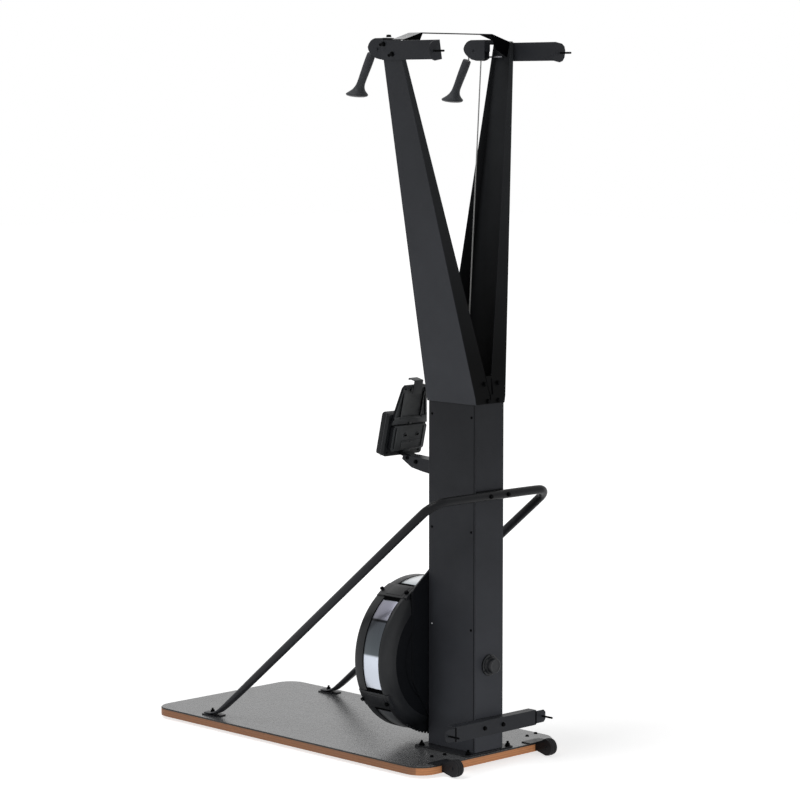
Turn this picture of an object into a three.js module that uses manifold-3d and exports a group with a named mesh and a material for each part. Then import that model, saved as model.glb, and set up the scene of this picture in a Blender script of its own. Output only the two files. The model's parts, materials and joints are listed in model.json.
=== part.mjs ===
import * as THREE from 'three';
import { mergeVertices } from 'three/addons/utils/BufferGeometryUtils.js';
import Module from 'manifold-3d';

// Ski trainer on a floor board. Millimetres, Z up. X is the user's right, the user stands on the board
// at the negative Y end and faces the column. Heights start at the floor; Y = 0 is the column's back.

const CLEAR = 0.3;
const OVERRUN = 1;
const WELD = 1e-4;

// Floor board
const BOARD_WIDTH = 597;
const BOARD_LENGTH = 1222;
const BOARD_CORNER = 60;
const BOARD_BACK_REACH = 14;
const BOARD_THICK = 24.7;
const PAD_HEIGHT = 8.7;
const PAD_RADIUS = 20;
const PAD_INSET = 60;
const FILM_THICK = 1.2;
const FILM_INSET = 2;

// Column
const COLUMN_WIDTH = 117.7;
const COLUMN_DEPTH = 199.3;
const COLUMN_WALL = 3;
const COLUMN_TOP = 1098;
const COLUMN_CORNER = 4;
const BACK_COVER_DEPTH = 7;
const COVER_LIP = 2.4;
const BASE_PLATE_THICK = 4;
const BASE_PLATE_MARGIN = 41;
const BASE_PLATE_FRONT = 16;
const BASE_PLATE_BACK = 6;
const CAP_THICK = 3;
const CAP_MARGIN = 3;

// Spreading arms above the column
const ARM_SHEET = 2;
const ARM_LAP = 18;
const ARM_RISE = 1045;
const ARM_SPREAD_SHARE = 0.1708;
const ARM_FRONT_LEAN_SHARE = 0.008;
const ARM_BACK_LEAN_SHARE = 0.1357;
const LEAN_START_RISE = 2;
const FLANGE_SPREAD_SHARE = 0.221;
const FLANGE_START_RISE = 7;

// Raised bridge between the arm tops
const BRIDGE_RISE = 23;
const BRIDGE_HALF = 148;
const BRIDGE_SETBACK = 20;
const BRIDGE_DEPTH = 52;
const BRIDGE_END_INSET = 6;
const GUSSET_WAIST_HALF = 166;
const GUSSET_DROP = 46;

// Stand-off strips that reach back to the wall
const WALL_GAP = 31.5;
const STRIP_THICK = 3;
const STRIP_HEIGHT = 56;
const STRIP_LEAD = 2;
const STRIP_DROP = 29;
const TAB_REACH = 46;
const TAB_CORNER = 18;
const TAB_HOLE_REACH = 28;

// Wall screws
const WALL_SCREW_RADIUS = 2.6;
const WALL_SCREW_HEAD = 5.5;
const WALL_SCREW_HEAD_LENGTH = 4;
const WALL_SCREW_LENGTH = 46;

// Lower wall bracket
const BRACKET_HALF = 172;
const BRACKET_MID_Z = 119;
const BRACKET_HEIGHT = 46;
const BRACKET_SHEET = 2.5;
const BRACKET_TAB = 42;
const BRACKET_STEP = 4;
const BRACKET_SCREW_INSET = 14;

// Top pulleys and their housings
const PULLEY_DROP = 24;
const PULLEY_INSET = 38.6;
const PULLEY_FORWARD = 49.8;
const PULLEY_GROOVE = 24.5;
const PULLEY_RIM = 28.5;
const PULLEY_WIDTH = 12;
const PULLEY_LIP = 2;
const PULLEY_FLOOR = 2;
const CHEEK_GAP = 9;
const CHEEK_SHEET = 2;
const HOUSING_DEPTH = 88.8;
const HOUSING_HALF_HEIGHT = 31.5;
const HOUSING_CORNER = 31;
const CHEEK_SHARES = [
  [0.365, 1], [0.25, 0.93], [0.15, 0.79], [0.05, 0.5], [0, 0.18], [0.03, -0.1], [0.11, -0.37],
  [0.23, -0.63], [0.4, -0.85], [0.6, -0.98], [0.78, -1], [0.9, -0.92], [1, -0.76],
];
const HOUSING_FLANGE_INSET = 4.6;
const PULLEY_AXLE = 4;
const RIVET_RISE = 3;

// Drive cords, their spools and eyelets
const CORD_RADIUS = 2;
const SPOOL_GROOVE = 18;
const SPOOL_RIM = 23;
const SPOOL_WIDTH = 14;
const SPOOL_LIP = 2;
const SPOOL_GAP = 2;
const SPOOL_INSET = 72;
const EYELET_OUTER = 7;
const EYELET_INNER = 4;

// Handles, measured along their own axis from the top down
const HANDLE_LEAN_DEG = 28;
const DISC_LEAN_DEG = 6;
const HANDLE_DROPS = { right: 14, left: 30 };
const HANDLE_FORWARD = 7;
const HANDLE_LENGTH = 136;
const HANDLE_DISC_RADIUS = 34;
const HANDLE_DISC_START_SHARE = 0.85;
const HANDLE_PROFILE_SHARES = [
  [0, 0.35], [0.012, 0.385], [0.25, 0.395], [0.5, 0.37], [0.68, 0.355], [0.78, 0.39], [0.87, 0.55],
  [0.93, 0.8], [0.965, 0.96], [0.985, 1], [1, 0.96],
];

// Fan drum, axis along Y
const DRUM_Z = 299;
const DRUM_GAP = 4.7;
const DRUM_DEPTH = 136;
const DRUM_RIM_FRONT = 234;
const DRUM_RIM_BACK = 236;
const BACK_DISC_RADIUS = 188;
const DRUM_WALL = 3;
const BAND_SETBACK = 26;
const BAND_WIDTH = 70;
const BAND_INSET = 2.5;
const INLET_RADIUS = 112;
const STRAP_ANGLES_DEG = [60, -30, -120, 150];
const STRAP_ARC_DEG = 15;
const STRAP_SHEET = 4;
const STRAP_FRONT_INSET = 4;
const STRAP_BACK_INSET = 17;
const MOUNT_HALF = 123;
const MOUNT_TOP_HALF = 47;
const MOUNT_BOTTOM_HALF = 59;
const MOUNT_TOP = 272;
const MOUNT_SHOULDER = 211;
const MOUNT_CHAMFER = 11;
const MOUNT_LOW = 60;
const MOUNT_BOTTOM = 170;

// Inlet plate and damper
const FULL_TURN_DEG = 360;
const INLET_SLOTS = 6;
const SLOT_DEG = 28;
const SLOT_INNER = 34;
const SLOT_LENGTH = 20;
const SLOT_GAP = 5;
const SLOT_RINGS = 2;
const DAMPER_LAP = 12;
const DAMPER_THICK = 2.5;
const LEVER_INNER = 90;
const LEVER_DEPTH = 12;
const LEVER_WIDTH = 8;
const LEVER_LENGTH = 14;
const LEVER_GAP = 2;
const LEVER_DEG = 15;
const DAMPER_TURN_DEG = 30;

// Rotor and its shaft
const SHAFT_RADIUS = 8;
const SHAFT_HOLE = 11;
const SHAFT_STUB = 2;
const SHAFT_BACK_REACH = 12;
const ROTOR_FRONT_GAP = 20;
const ROTOR_BACK_GAP = 21;
const ROTOR_DISC_THICK = 6;
const ROTOR_RADIUS = 208;
const VANE_INNER = 130;
const VANE_INSET = 3;
const VANE_COUNT = 12;
const VANE_THICK = 3;
const HUB_RADIUS = 26;
const AXLE_CAP_FLANGE = 32;
const AXLE_CAP_RADIUS = 22.5;
const AXLE_CAP_FLANGE_DEPTH = 7;
const AXLE_CAP_DEPTH = 27;
const BEARING_OUTER = 20;
const BEARING_DEPTH = 12;

// Brace tube from the column down to the front of the board
const TUBE_RADIUS = 13.5;
const TUBE_TOP_Z = 809;
const TUBE_INSET = 48.5;
const TUBE_BEND = 60;
const TUBE_SLOPE_SHARE = 0.799;
const FLAT_START = 58;
const TAB_WIDE_SHARE = 1.48;
const TAB_THIN_SHARE = 0.19;
const TUBE_TAB_LENGTH = 52;
const TUBE_SIDES = 12;
const TUBE_BEND_STEPS = 6;
const FOOT_PLATE_THICK = 3;
const FOOT_PLATE_MARGIN = 4;
const FOOT_PLATE_CORNER = 8;
const FOOT_BACK_REACH = 14;

// Transport wheels behind the board
const WHEEL_INSET = 98;
const WHEEL_BEHIND = 42;
const WHEEL_RADIUS = 26;
const WHEEL_LIFT = 2;
const WHEEL_WIDTH = 18;
const WHEEL_CHAMFER = 2;
const WHEEL_AXLE_RADIUS = 4;
const FORK_SHEET = 2.5;
const FORK_GAP = 1;
const FORK_INSET = 1;
const FORK_ROOT_DROP = 15;
const FORK_ARC_STEPS = 12;
const FORK_STANDOFF = 1;
const FORK_PLATE_LAP = 33;
const FORK_PLATE_HALF_X = 38;

// Monitor arm
const MONITOR_REACH = 125.7;
const MONITOR_PIVOT_Z = 893;
const MONITOR_TILT_DEG = 13;
const ARM_HALF_WIDTH = 22;
const ARM_PLATE = 2.5;
const ARM_TOP_SHARES = [[0, -0.016], [0.282, 0.008], [0.894, 0.052], [1.141, 0.056]];
const ARM_LOW_SHARES = [[1.189, -0.04], [0.862, -0.223], [0.52, -0.286], [0.282, -0.318], [0, -0.35]];
const PIVOT_RADIUS = 4;
const PIVOT_HEAD = 6;
const KNUCKLE_HALF = 14;
const KNUCKLE_RADIUS = 9;

// Monitor, drawn upright about its pivot
const CASE_FORWARD = 46;
const CASE_THICK = 33;
const CASE_HALF_X = 80;
const CASE_DROP = 7;
const CASE_HEIGHT = 133;
const CASE_CORNER = 9;
const BODY_INSET = 10;
const BODY_THICK = 16;
const BODY_RAISE = 21;
const BODY_HEIGHT = 79;
const SCREEN_HALF_X = 50;
const SCREEN_SHIFT = 16;
const SCREEN_RAISE = 31;
const SCREEN_HEIGHT = 80;
const SCREEN_THICK = 1.5;
const BUTTON_GAP = 12;
const BUTTON_RADIUS = 9;
const BUTTON_PROUD = 3;
const BUTTON_SINK = 4;
const BUTTON_TRAVEL = 4;
const BUTTON_RAISE = 35;
const BUTTON_STEP = 36;
const BUTTON_COUNT = 3;
const CRADLE_GAP = 2;
const CRADLE_HEIGHT = 123;
const CRADLE_LOW_HALF = 75;
const CRADLE_HIGH_HALF = 49;
const CRADLE_THICK = 9.4;
const RECESS_INSET = 12;
const RECESS_DEPTH = 5;
const SHELF_SHEET = 3;
const SHELF_REACH = 16;
const CLIP_HALF_X = 18;
const CLIP_LAP = 28;
const CLIP_RISE = 16;
const CLIP_SHEET = 3;
const CLIP_HOOK = 16;
const CLIP_SHIFT = 8;

const SIDES = [['right', 1], ['left', -1]];
const DRUM_SIDES = 40;
const ROUND = 20;
const COARSE = 12;
const CORD_SIDES = 8;

// Sizes that several pieces share
const boardBackY = BOARD_BACK_REACH;
const boardFrontY = boardBackY - BOARD_LENGTH;
const boardHalf = BOARD_WIDTH / 2;
const boardBottom = PAD_HEIGHT + CLEAR;
const filmBottom = boardBottom + BOARD_THICK + CLEAR;
const deckZ = filmBottom + FILM_THICK;
const seatZ = deckZ + CLEAR;
const columnHalf = COLUMN_WIDTH / 2;
const columnBottom = seatZ + BASE_PLATE_THICK + CLEAR;
const armBottom = COLUMN_TOP - ARM_LAP;
const armTop = COLUMN_TOP + ARM_RISE;
const leanStart = COLUMN_TOP + LEAN_START_RISE;
const flangeStart = COLUMN_TOP + FLANGE_START_RISE;

const wasm = await Module();
wasm.setup();

function finish(color, roughness, metalness) {
  return new THREE.MeshStandardMaterial({ color, roughness, metalness });
}

const COLORS = {
  frame: () => finish(0x3c3f46, 0.45, 0.3),
  dark: () => finish(0x1f2224, 0.5, 0.2),
  drum: () => finish(0x34383b, 0.5, 0.1),
  wood: () => finish(0x9a6a3f, 0.6, 0),
  film: () => finish(0x8f9193, 0.35, 0),
  rubber: () => finish(0x151515, 0.85, 0),
  metal: () => finish(0xc9ced3, 0.2, 1),
  steel: () => finish(0x8a8d90, 0.35, 1),
  bolt: () => finish(0x191a1c, 0.4, 0.8),
  plastic: () => finish(0x3b3e41, 0.55, 0),
  cord: () => finish(0x9a9a98, 0.8, 0),
  grip: () => finish(0x3a3c40, 0.7, 0),
  glass: () => finish(0x39443d, 0.1, 0),
};

const machine = new THREE.Group();
machine.name = 'ski_trainer';

function add(name, geometry, color) {
  const mesh = new THREE.Mesh(geometry, COLORS[color]());
  mesh.name = name;
  machine.add(mesh);
  return mesh;
}

// Shapes

function outline(points, holes = []) {
  const shape = new THREE.Shape(points.map(([x, y]) => new THREE.Vector2(x, y)));
  for (const hole of holes) {
    shape.holes.push(new THREE.Path(hole.map(([x, y]) => new THREE.Vector2(x, y))));
  }
  return shape;
}

function circle(x, y, radius, sides = COARSE) {
  const points = [];
  for (let i = 0; i < sides; i += 1) {
    const angle = (2 * Math.PI * i) / sides;
    points.push([x + radius * Math.cos(angle), y + radius * Math.sin(angle)]);
  }
  return points;
}

function rounded(x0, y0, x1, y1, radius, steps = 6) {
  const points = [];
  const centres = [[x1 - radius, y1 - radius], [x0 + radius, y1 - radius],
    [x0 + radius, y0 + radius], [x1 - radius, y0 + radius]];
  centres.forEach(([cx, cy], corner) => {
    for (let i = 0; i <= steps; i += 1) {
      const angle = (Math.PI / 2) * (corner + i / steps);
      points.push([cx + radius * Math.cos(angle), cy + radius * Math.sin(angle)]);
    }
  });
  return points;
}

// Extrusion of an XY outline upward from z0 to z1
function slab(points, z0, z1, holes = []) {
  const settings = { depth: z1 - z0, bevelEnabled: false };
  const geometry = new THREE.ExtrudeGeometry(outline(points, holes), settings);
  geometry.translate(0, 0, z0);
  return geometry;
}

// Extrusion of an XZ outline along Y from y0 to y1
function wall(points, y0, y1, holes = []) {
  const geometry = slab(points, -y1, -y0, holes);
  geometry.rotateX(Math.PI / 2);
  return geometry;
}

// Extrusion of a YZ outline along X from x0 to x1
function side(points, x0, x1, holes = []) {
  const geometry = slab(points, x0, x1, holes);
  geometry.rotateX(Math.PI / 2);
  geometry.rotateZ(Math.PI / 2);
  return geometry;
}

function box(x0, x1, y0, y1, z0, z1) {
  const geometry = new THREE.BoxGeometry(x1 - x0, y1 - y0, z1 - z0);
  geometry.translate((x0 + x1) / 2, (y0 + y1) / 2, (z0 + z1) / 2);
  return geometry;
}

function rod(axis, radius, from, to, a, b, sides = ROUND) {
  const geometry = new THREE.CylinderGeometry(radius, radius, to - from, sides);
  const middle = (from + to) / 2;
  if (axis === 'x') {
    geometry.rotateZ(Math.PI / 2);
    geometry.translate(middle, a, b);
  } else if (axis === 'y') {
    geometry.translate(a, middle, b);
  } else {
    geometry.rotateX(Math.PI / 2);
    geometry.translate(a, b, middle);
  }
  return geometry;
}

// Turned body from [radius, position] pairs, axis along Z, X or Y; the pairs may run either way round
function turned(axis, profile, sides = ROUND) {
  const points = profile.map(([r, h]) => new THREE.Vector2(r, h));
  if (THREE.ShapeUtils.area(points) < 0) {
    points.reverse();
  }
  const geometry = new THREE.LatheGeometry(points, sides);
  geometry.rotateX(Math.PI / 2);
  if (axis === 'x') {
    geometry.rotateY(Math.PI / 2);
  }
  if (axis === 'y') {
    geometry.rotateX(-Math.PI / 2);
  }
  return geometry;
}

function moved(geometry, x, y, z) {
  geometry.translate(x, y, z);
  return geometry;
}

// Solid operations

function toSolid(geometry) {
  const plain = geometry.clone();
  plain.deleteAttribute('normal');
  plain.deleteAttribute('uv');
  const welded = mergeVertices(plain, WELD);
  return new wasm.Manifold(new wasm.Mesh({
    numProp: 3,
    vertProperties: Float32Array.from(welded.attributes.position.array),
    triVerts: Uint32Array.from(welded.index.array),
  }));
}

function toGeometry(solid) {
  const mesh = solid.getMesh();
  const geometry = new THREE.BufferGeometry();
  const positions = Float32Array.from(mesh.vertProperties);
  geometry.setAttribute('position', new THREE.BufferAttribute(positions, 3));
  geometry.setIndex(new THREE.BufferAttribute(Uint32Array.from(mesh.triVerts), 1));
  const faceted = geometry.toNonIndexed();
  faceted.computeVertexNormals();
  return faceted;
}

function joined(list) {
  return toGeometry(list.map(toSolid).reduce((a, b) => a.add(b)));
}

function cut(geometry, tools) {
  return toGeometry(tools.map(toSolid).reduce((a, b) => a.subtract(b), toSolid(geometry)));
}

// Triangles of a flat ring, turning the same way as its points
function ringFaces(ring) {
  const points = ring.map((p) => new THREE.Vector3(...p));
  const start = points[0];
  const normal = new THREE.Vector3();
  points.forEach((point, i) => {
    const next = points[(i + 1) % points.length];
    normal.add(point.clone().sub(start).cross(next.clone().sub(start)));
  });
  normal.normalize();
  const across = points[1].clone().sub(start).normalize();
  const upward = new THREE.Vector3().crossVectors(normal, across);
  const flat = points.map((point) => {
    const from = point.clone().sub(start);
    return new THREE.Vector2(from.dot(across), from.dot(upward));
  });
  return THREE.ShapeUtils.triangulateShape(flat, []);
}

// Skin through rings of equal point count, closed by flat ends
function skinned(rings) {
  const count = rings[0].length;
  const index = [];
  for (let r = 0; r < rings.length - 1; r += 1) {
    for (let i = 0; i < count; i += 1) {
      const a = r * count + i;
      const b = r * count + ((i + 1) % count);
      index.push(a, b, b + count, a, b + count, a + count);
    }
  }
  const last = (rings.length - 1) * count;
  for (const [a, b, c] of ringFaces(rings[0])) {
    index.push(a, c, b);
  }
  for (const [a, b, c] of ringFaces(rings[rings.length - 1])) {
    index.push(last + a, last + b, last + c);
  }
  const geometry = new THREE.BufferGeometry();
  geometry.setAttribute('position', new THREE.Float32BufferAttribute(rings.flat(2), 3));
  geometry.setIndex(index);
  return geometry.toNonIndexed();
}

// Round bar through points, with rings mitred at each point; flats gives per point the share of the
// radius kept along X and the share kept across it
function bar(points, radius, sides, flats = null) {
  const path = points.map((p) => new THREE.Vector3(...p));
  const rings = [];
  let reference = null;
  path.forEach((point, i) => {
    const before = i > 0 ? point.clone().sub(path[i - 1]).normalize() : null;
    const after = i < path.length - 1 ? path[i + 1].clone().sub(point).normalize() : null;
    const through = before && after ? before.clone().add(after) : before || after;
    const along = through.clone().normalize();
    if (!reference) {
      reference = Math.abs(along.x) < 0.8 ? new THREE.Vector3(1, 0, 0) : new THREE.Vector3(0, 1, 0);
    }
    const u = reference.clone().sub(along.clone().multiplyScalar(reference.dot(along))).normalize();
    const v = new THREE.Vector3().crossVectors(along, u);
    reference = u;
    const wide = before && after ? 1 / Math.max(0.5, along.dot(after)) : 1;
    const bend = before && after ? after.clone().sub(before) : new THREE.Vector3();
    const bendLine = bend.length() > WELD ? bend.normalize() : null;
    const [wideShare, thinShare] = flats ? flats[i] : [1, 1];
    rings.push(Array.from({ length: sides }, (_, k) => {
      const angle = (2 * Math.PI * k) / sides;
      const offset = u.clone().multiplyScalar(radius * Math.cos(angle))
        .add(v.clone().multiplyScalar(radius * Math.sin(angle)));
      if (bendLine) {
        offset.add(bendLine.clone().multiplyScalar(offset.dot(bendLine) * (wide - 1)));
      }
      offset.multiply(new THREE.Vector3(wideShare, thinShare, thinShare));
      return point.clone().add(offset).toArray();
    }));
  });
  return skinned(rings);
}

function mirrored(points) {
  return points.map(([x, ...rest]) => [-x, ...rest]);
}

function degrees(value) {
  return (value * Math.PI) / 180;
}

// Outline from its right half, drawn from the lower end to the upper one
function bothSides(half) {
  return [...half, ...mirrored([...half].reverse())];
}

// Pair of X limits on one side of the machine
function spanOn(sign, near, far) {
  return sign > 0 ? [near, far] : [-far, -near];
}

function wedge(inner, outer, fromDeg, toDeg, steps) {
  const arc = (radius) => Array.from({ length: steps + 1 }, (_, i) => {
    const angle = degrees(fromDeg + ((toDeg - fromDeg) * i) / steps);
    return [radius * Math.cos(angle), radius * Math.sin(angle)];
  });
  return [...arc(outer), ...arc(inner).reverse()];
}

// Board

const boardShape = rounded(-boardHalf, boardFrontY, boardHalf, boardBackY, BOARD_CORNER);
add('base_board', slab(boardShape, boardBottom, boardBottom + BOARD_THICK), 'wood');
const filmShape = rounded(-boardHalf + FILM_INSET, boardFrontY + FILM_INSET, boardHalf - FILM_INSET,
  boardBackY - FILM_INSET, BOARD_CORNER - FILM_INSET);
add('deck_film', slab(filmShape, filmBottom, deckZ), 'film');

const padRows = [['back', boardBackY - PAD_INSET], ['front', boardFrontY + PAD_INSET]];
for (const [end, y] of padRows) {
  for (const [label, sign] of SIDES) {
    const padX = sign * (boardHalf - PAD_INSET);
    add(`foot_pad_${end}_${label}`, rod('z', PAD_RADIUS, 0, PAD_HEIGHT, padX, y, COARSE), 'rubber');
  }
}

// Column

const basePlateHalf = columnHalf + BASE_PLATE_MARGIN;
const basePlateShape = rounded(-basePlateHalf, -COLUMN_DEPTH - BASE_PLATE_FRONT, basePlateHalf,
  BASE_PLATE_BACK, COLUMN_CORNER);
add('base_plate', slab(basePlateShape, seatZ, seatZ + BASE_PLATE_THICK), 'dark');

const columnInner = columnHalf - COLUMN_WALL;
const columnFront = -COLUMN_DEPTH;
const columnFrontInner = columnFront + COLUMN_WALL;
const columnRight = [
  [columnHalf - COLUMN_CORNER, columnFront], [columnHalf, columnFront + COLUMN_CORNER],
  [columnHalf, -BACK_COVER_DEPTH], [columnInner, -BACK_COVER_DEPTH],
  [columnInner, columnFrontInner + COLUMN_CORNER], [columnInner - COLUMN_CORNER, columnFrontInner],
];
const columnShape = bothSides(columnRight);
const shaftBore = rod('y', SHAFT_HOLE, -2 * COLUMN_DEPTH, COLUMN_DEPTH, 0, DRUM_Z);
add('column_body', cut(slab(columnShape, columnBottom, COLUMN_TOP), [shaftBore]), 'frame');

const coverLipY = -BACK_COVER_DEPTH + CLEAR;
const coverRight = [
  [columnHalf - COVER_LIP, -COVER_LIP], [columnHalf - COVER_LIP, coverLipY], [columnHalf, coverLipY],
  [columnHalf, 0],
];
const coverShape = bothSides(coverRight);
add('column_back_cover', cut(slab(coverShape, columnBottom, COLUMN_TOP), [shaftBore]), 'frame');

// Cap with a collar for each cord

const capBottom = COLUMN_TOP + CLEAR;
const capTop = capBottom + CAP_THICK;
const capHalf = columnHalf - CAP_MARGIN;
const spoolWrap = SPOOL_GROOVE + CORD_RADIUS + CLEAR;
const spoolMidY = columnFront + SPOOL_INSET;
const spoolOffset = (SPOOL_WIDTH + SPOOL_GAP) / 2;
const cordStarts = [[spoolWrap, spoolMidY - spoolOffset], [-spoolWrap, spoolMidY + spoolOffset]];
const capPlate = slab(rounded(-capHalf, columnFront + CAP_MARGIN, capHalf, -BACK_COVER_DEPTH - CAP_MARGIN,
  COLUMN_CORNER), capBottom, capTop);
const collars = cordStarts.map(([x, y]) => rod('z', EYELET_OUTER, COLUMN_TOP - CAP_THICK,
  capTop + CAP_THICK, x, y, COARSE));
const collarBores = cordStarts.map(([x, y]) => rod('z', EYELET_INNER, COLUMN_TOP - 2 * CAP_THICK,
  capTop + 2 * CAP_THICK, x, y, COARSE));
add('column_cap', cut(joined([capPlate, ...collars]), collarBores), 'dark');

// Arms: folded sheet, wrapped round the column's top

function webX(z) {
  return columnHalf + CLEAR + ARM_SHEET + ARM_SPREAD_SHARE * (z - armBottom);
}

function armFrontY(z) {
  return columnFront - CLEAR - ARM_SHEET - ARM_FRONT_LEAN_SHARE * (z - armBottom);
}

function armBackY(z) {
  return CLEAR + ARM_SHEET - ARM_BACK_LEAN_SHARE * Math.max(0, z - leanStart);
}

function flangeX(z) {
  return Math.max(CLEAR / 2, FLANGE_SPREAD_SHARE * (z - flangeStart));
}

function armRing(z, sign) {
  const x = webX(z);
  const inner = flangeX(z);
  const front = armFrontY(z);
  const back = armBackY(z);
  const s = ARM_SHEET;
  const ring = [
    [inner, back], [inner, back - s], [x - s, back - s], [x - s, front + s], [inner, front + s],
    [inner, front], [x - s / 2, front], [x, front + s / 2], [x, back - s / 2], [x - s / 2, back],
  ].map(([px, py]) => [sign * px, py, z]);
  return sign > 0 ? ring : ring.reverse();
}

const armLevels = [armBottom, leanStart, flangeStart + CLEAR / 2 / FLANGE_SPREAD_SHARE, armTop];
for (const [label, sign] of SIDES) {
  add(`arm_${label}`, skinned(armLevels.map((z) => armRing(z, sign))), 'frame');
}

// Bridge

const bridgeFrontY = armFrontY(armTop) + BRIDGE_SETBACK;
const bridgeBackY = bridgeFrontY + BRIDGE_DEPTH;
const bridgeZ = armTop + BRIDGE_RISE;
const bridgeLow = armTop + CLEAR;
const bridgeEnd = webX(armTop) - BRIDGE_END_INSET;
const bridgeEndIn = bridgeEnd - 3 * BRIDGE_END_INSET;
const bridgeRight = [
  [BRIDGE_HALF, bridgeZ - ARM_SHEET], [bridgeEndIn, bridgeLow], [bridgeEnd, bridgeLow],
  [bridgeEnd, bridgeLow + ARM_SHEET], [bridgeEndIn, bridgeLow + ARM_SHEET], [BRIDGE_HALF, bridgeZ],
];
const bridgeShape = bothSides(bridgeRight);
const gussetLow = armTop - GUSSET_DROP;
const gussetShape = [
  [flangeX(gussetLow) - BRIDGE_END_INSET, gussetLow],
  [flangeX(armTop) - BRIDGE_END_INSET, bridgeLow + ARM_SHEET / 2],
  [BRIDGE_HALF, bridgeZ - ARM_SHEET / 2],
  [BRIDGE_HALF - BRIDGE_END_INSET, bridgeZ - ARM_SHEET / 2],
  [GUSSET_WAIST_HALF, gussetLow + GUSSET_DROP / 2],
];
const gussets = [gussetShape, mirrored(gussetShape).reverse()].map(
  (shape) => wall(shape, bridgeBackY - ARM_SHEET, bridgeBackY));
add('top_bridge', joined([wall(bridgeShape, bridgeFrontY, bridgeBackY), ...gussets]), 'frame');

// Stand-offs, laid flat against the sloping arm webs

const stripMidZ = armTop - STRIP_DROP;
const stripHalf = STRIP_HEIGHT / 2;
const stripX = webX(stripMidZ) + CLEAR;
const webLean = Math.atan(ARM_SPREAD_SHARE);

function onWeb(geometry, sign) {
  geometry.rotateY(sign * webLean);
  return moved(geometry, sign * stripX, 0, stripMidZ);
}

const tabFlat = stripHalf - TAB_CORNER;
const tabNick = TAB_CORNER / 3;
const tabShape = [
  [0, -stripHalf], [TAB_REACH - TAB_CORNER, -stripHalf], [TAB_REACH - tabNick, -stripHalf + tabNick],
  [TAB_REACH, -tabFlat], [TAB_REACH, tabFlat], [TAB_REACH - tabNick, stripHalf - tabNick],
  [TAB_REACH - TAB_CORNER, stripHalf], [0, stripHalf],
];
for (const [label, sign] of SIDES) {
  const strip = side(rounded(armFrontY(stripMidZ) - STRIP_LEAD, -stripHalf, WALL_GAP - STRIP_THICK / 2,
    stripHalf, STRIP_THICK / 3), ...spanOn(sign, 0, STRIP_THICK));
  const placed = sign > 0 ? tabShape : mirrored(tabShape).reverse();
  const tab = wall(placed, WALL_GAP - STRIP_THICK, WALL_GAP,
    [circle(sign * TAB_HOLE_REACH, 0, WALL_SCREW_RADIUS + CLEAR)]);
  add(`standoff_${label}`, onWeb(joined([strip, tab]), sign), 'frame');
}

// Wall screws

function wallScrew(x, z, face) {
  const head = face - WALL_SCREW_HEAD_LENGTH - CLEAR;
  const tip = face + WALL_SCREW_LENGTH;
  return moved(turned('y', [
    [0, head], [WALL_SCREW_HEAD, head], [WALL_SCREW_HEAD, face - CLEAR],
    [WALL_SCREW_RADIUS, face - CLEAR], [WALL_SCREW_RADIUS, tip], [0, tip],
  ], COARSE), x, 0, z);
}

const upperScrewX = stripX + TAB_HOLE_REACH * Math.cos(webLean);
const upperScrewZ = stripMidZ - TAB_HOLE_REACH * Math.sin(webLean);
const bracketTabEnd = BRACKET_HALF + BRACKET_TAB;
const lowerScrewX = bracketTabEnd - BRACKET_SCREW_INSET;
const screwPlaces = [
  ['upper', upperScrewX, upperScrewZ, WALL_GAP - STRIP_THICK],
  ['lower', lowerScrewX, BRACKET_MID_Z, WALL_GAP - BRACKET_SHEET],
];
for (const [level, x, z, face] of screwPlaces) {
  for (const [label, sign] of SIDES) {
    add(`wall_screw_${level}_${label}`, wallScrew(sign * x, z, face), 'bolt');
  }
}

// Lower wall bracket

const bracketLow = BRACKET_MID_Z - BRACKET_HEIGHT / 2;
const bracketHigh = BRACKET_MID_Z + BRACKET_HEIGHT / 2;
const tabLow = bracketLow + BRACKET_STEP;
const tabHigh = bracketHigh - BRACKET_STEP;
const bracketRight = [
  [BRACKET_HALF, bracketLow], [BRACKET_HALF, tabLow], [bracketTabEnd - 2 * BRACKET_STEP, tabLow],
  [bracketTabEnd, tabLow + 2 * BRACKET_STEP], [bracketTabEnd, tabHigh - 2 * BRACKET_STEP],
  [bracketTabEnd - 2 * BRACKET_STEP, tabHigh], [BRACKET_HALF, tabHigh], [BRACKET_HALF, bracketHigh],
];
const bracketShape = bothSides(bracketRight);
const bracketHoles = SIDES.map(([, sign]) => circle(sign * lowerScrewX, BRACKET_MID_Z,
  WALL_SCREW_RADIUS + CLEAR));
const bracketLips = [[bracketHigh - BRACKET_SHEET, bracketHigh], [bracketLow, bracketLow + BRACKET_SHEET]];
add('wall_bracket', joined([
  wall(bracketShape, WALL_GAP - BRACKET_SHEET, WALL_GAP, bracketHoles),
  ...bracketLips.map(([z0, z1]) => box(-BRACKET_HALF, BRACKET_HALF, CLEAR, WALL_GAP, z0, z1)),
]), 'frame');

// Top pulleys

const pulleyZ = armTop - PULLEY_DROP;
const pulleyX = webX(pulleyZ) - PULLEY_INSET;
const housingBackY = armFrontY(pulleyZ) - CLEAR;
const housingFrontY = housingBackY - HOUSING_DEPTH;
const pulleyY = housingBackY - PULLEY_FORWARD;
const housingHigh = pulleyZ + HOUSING_HALF_HEIGHT;
const cheekShape = [
  [housingBackY, housingHigh],
  ...CHEEK_SHARES.map(([back, up]) => [
    housingFrontY + back * HOUSING_DEPTH, pulleyZ + up * HOUSING_HALF_HEIGHT]),
];
const nearCheek = pulleyX - CHEEK_GAP;
const farCheek = pulleyX + CHEEK_GAP;
const rivetReach = CHEEK_GAP + CHEEK_SHEET + RIVET_RISE;
const flangeEnd = webX(pulleyZ) - HOUSING_FLANGE_INSET;
const halfPulley = PULLEY_WIDTH / 2;
const pulleyBore = PULLEY_AXLE + CLEAR;
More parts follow.
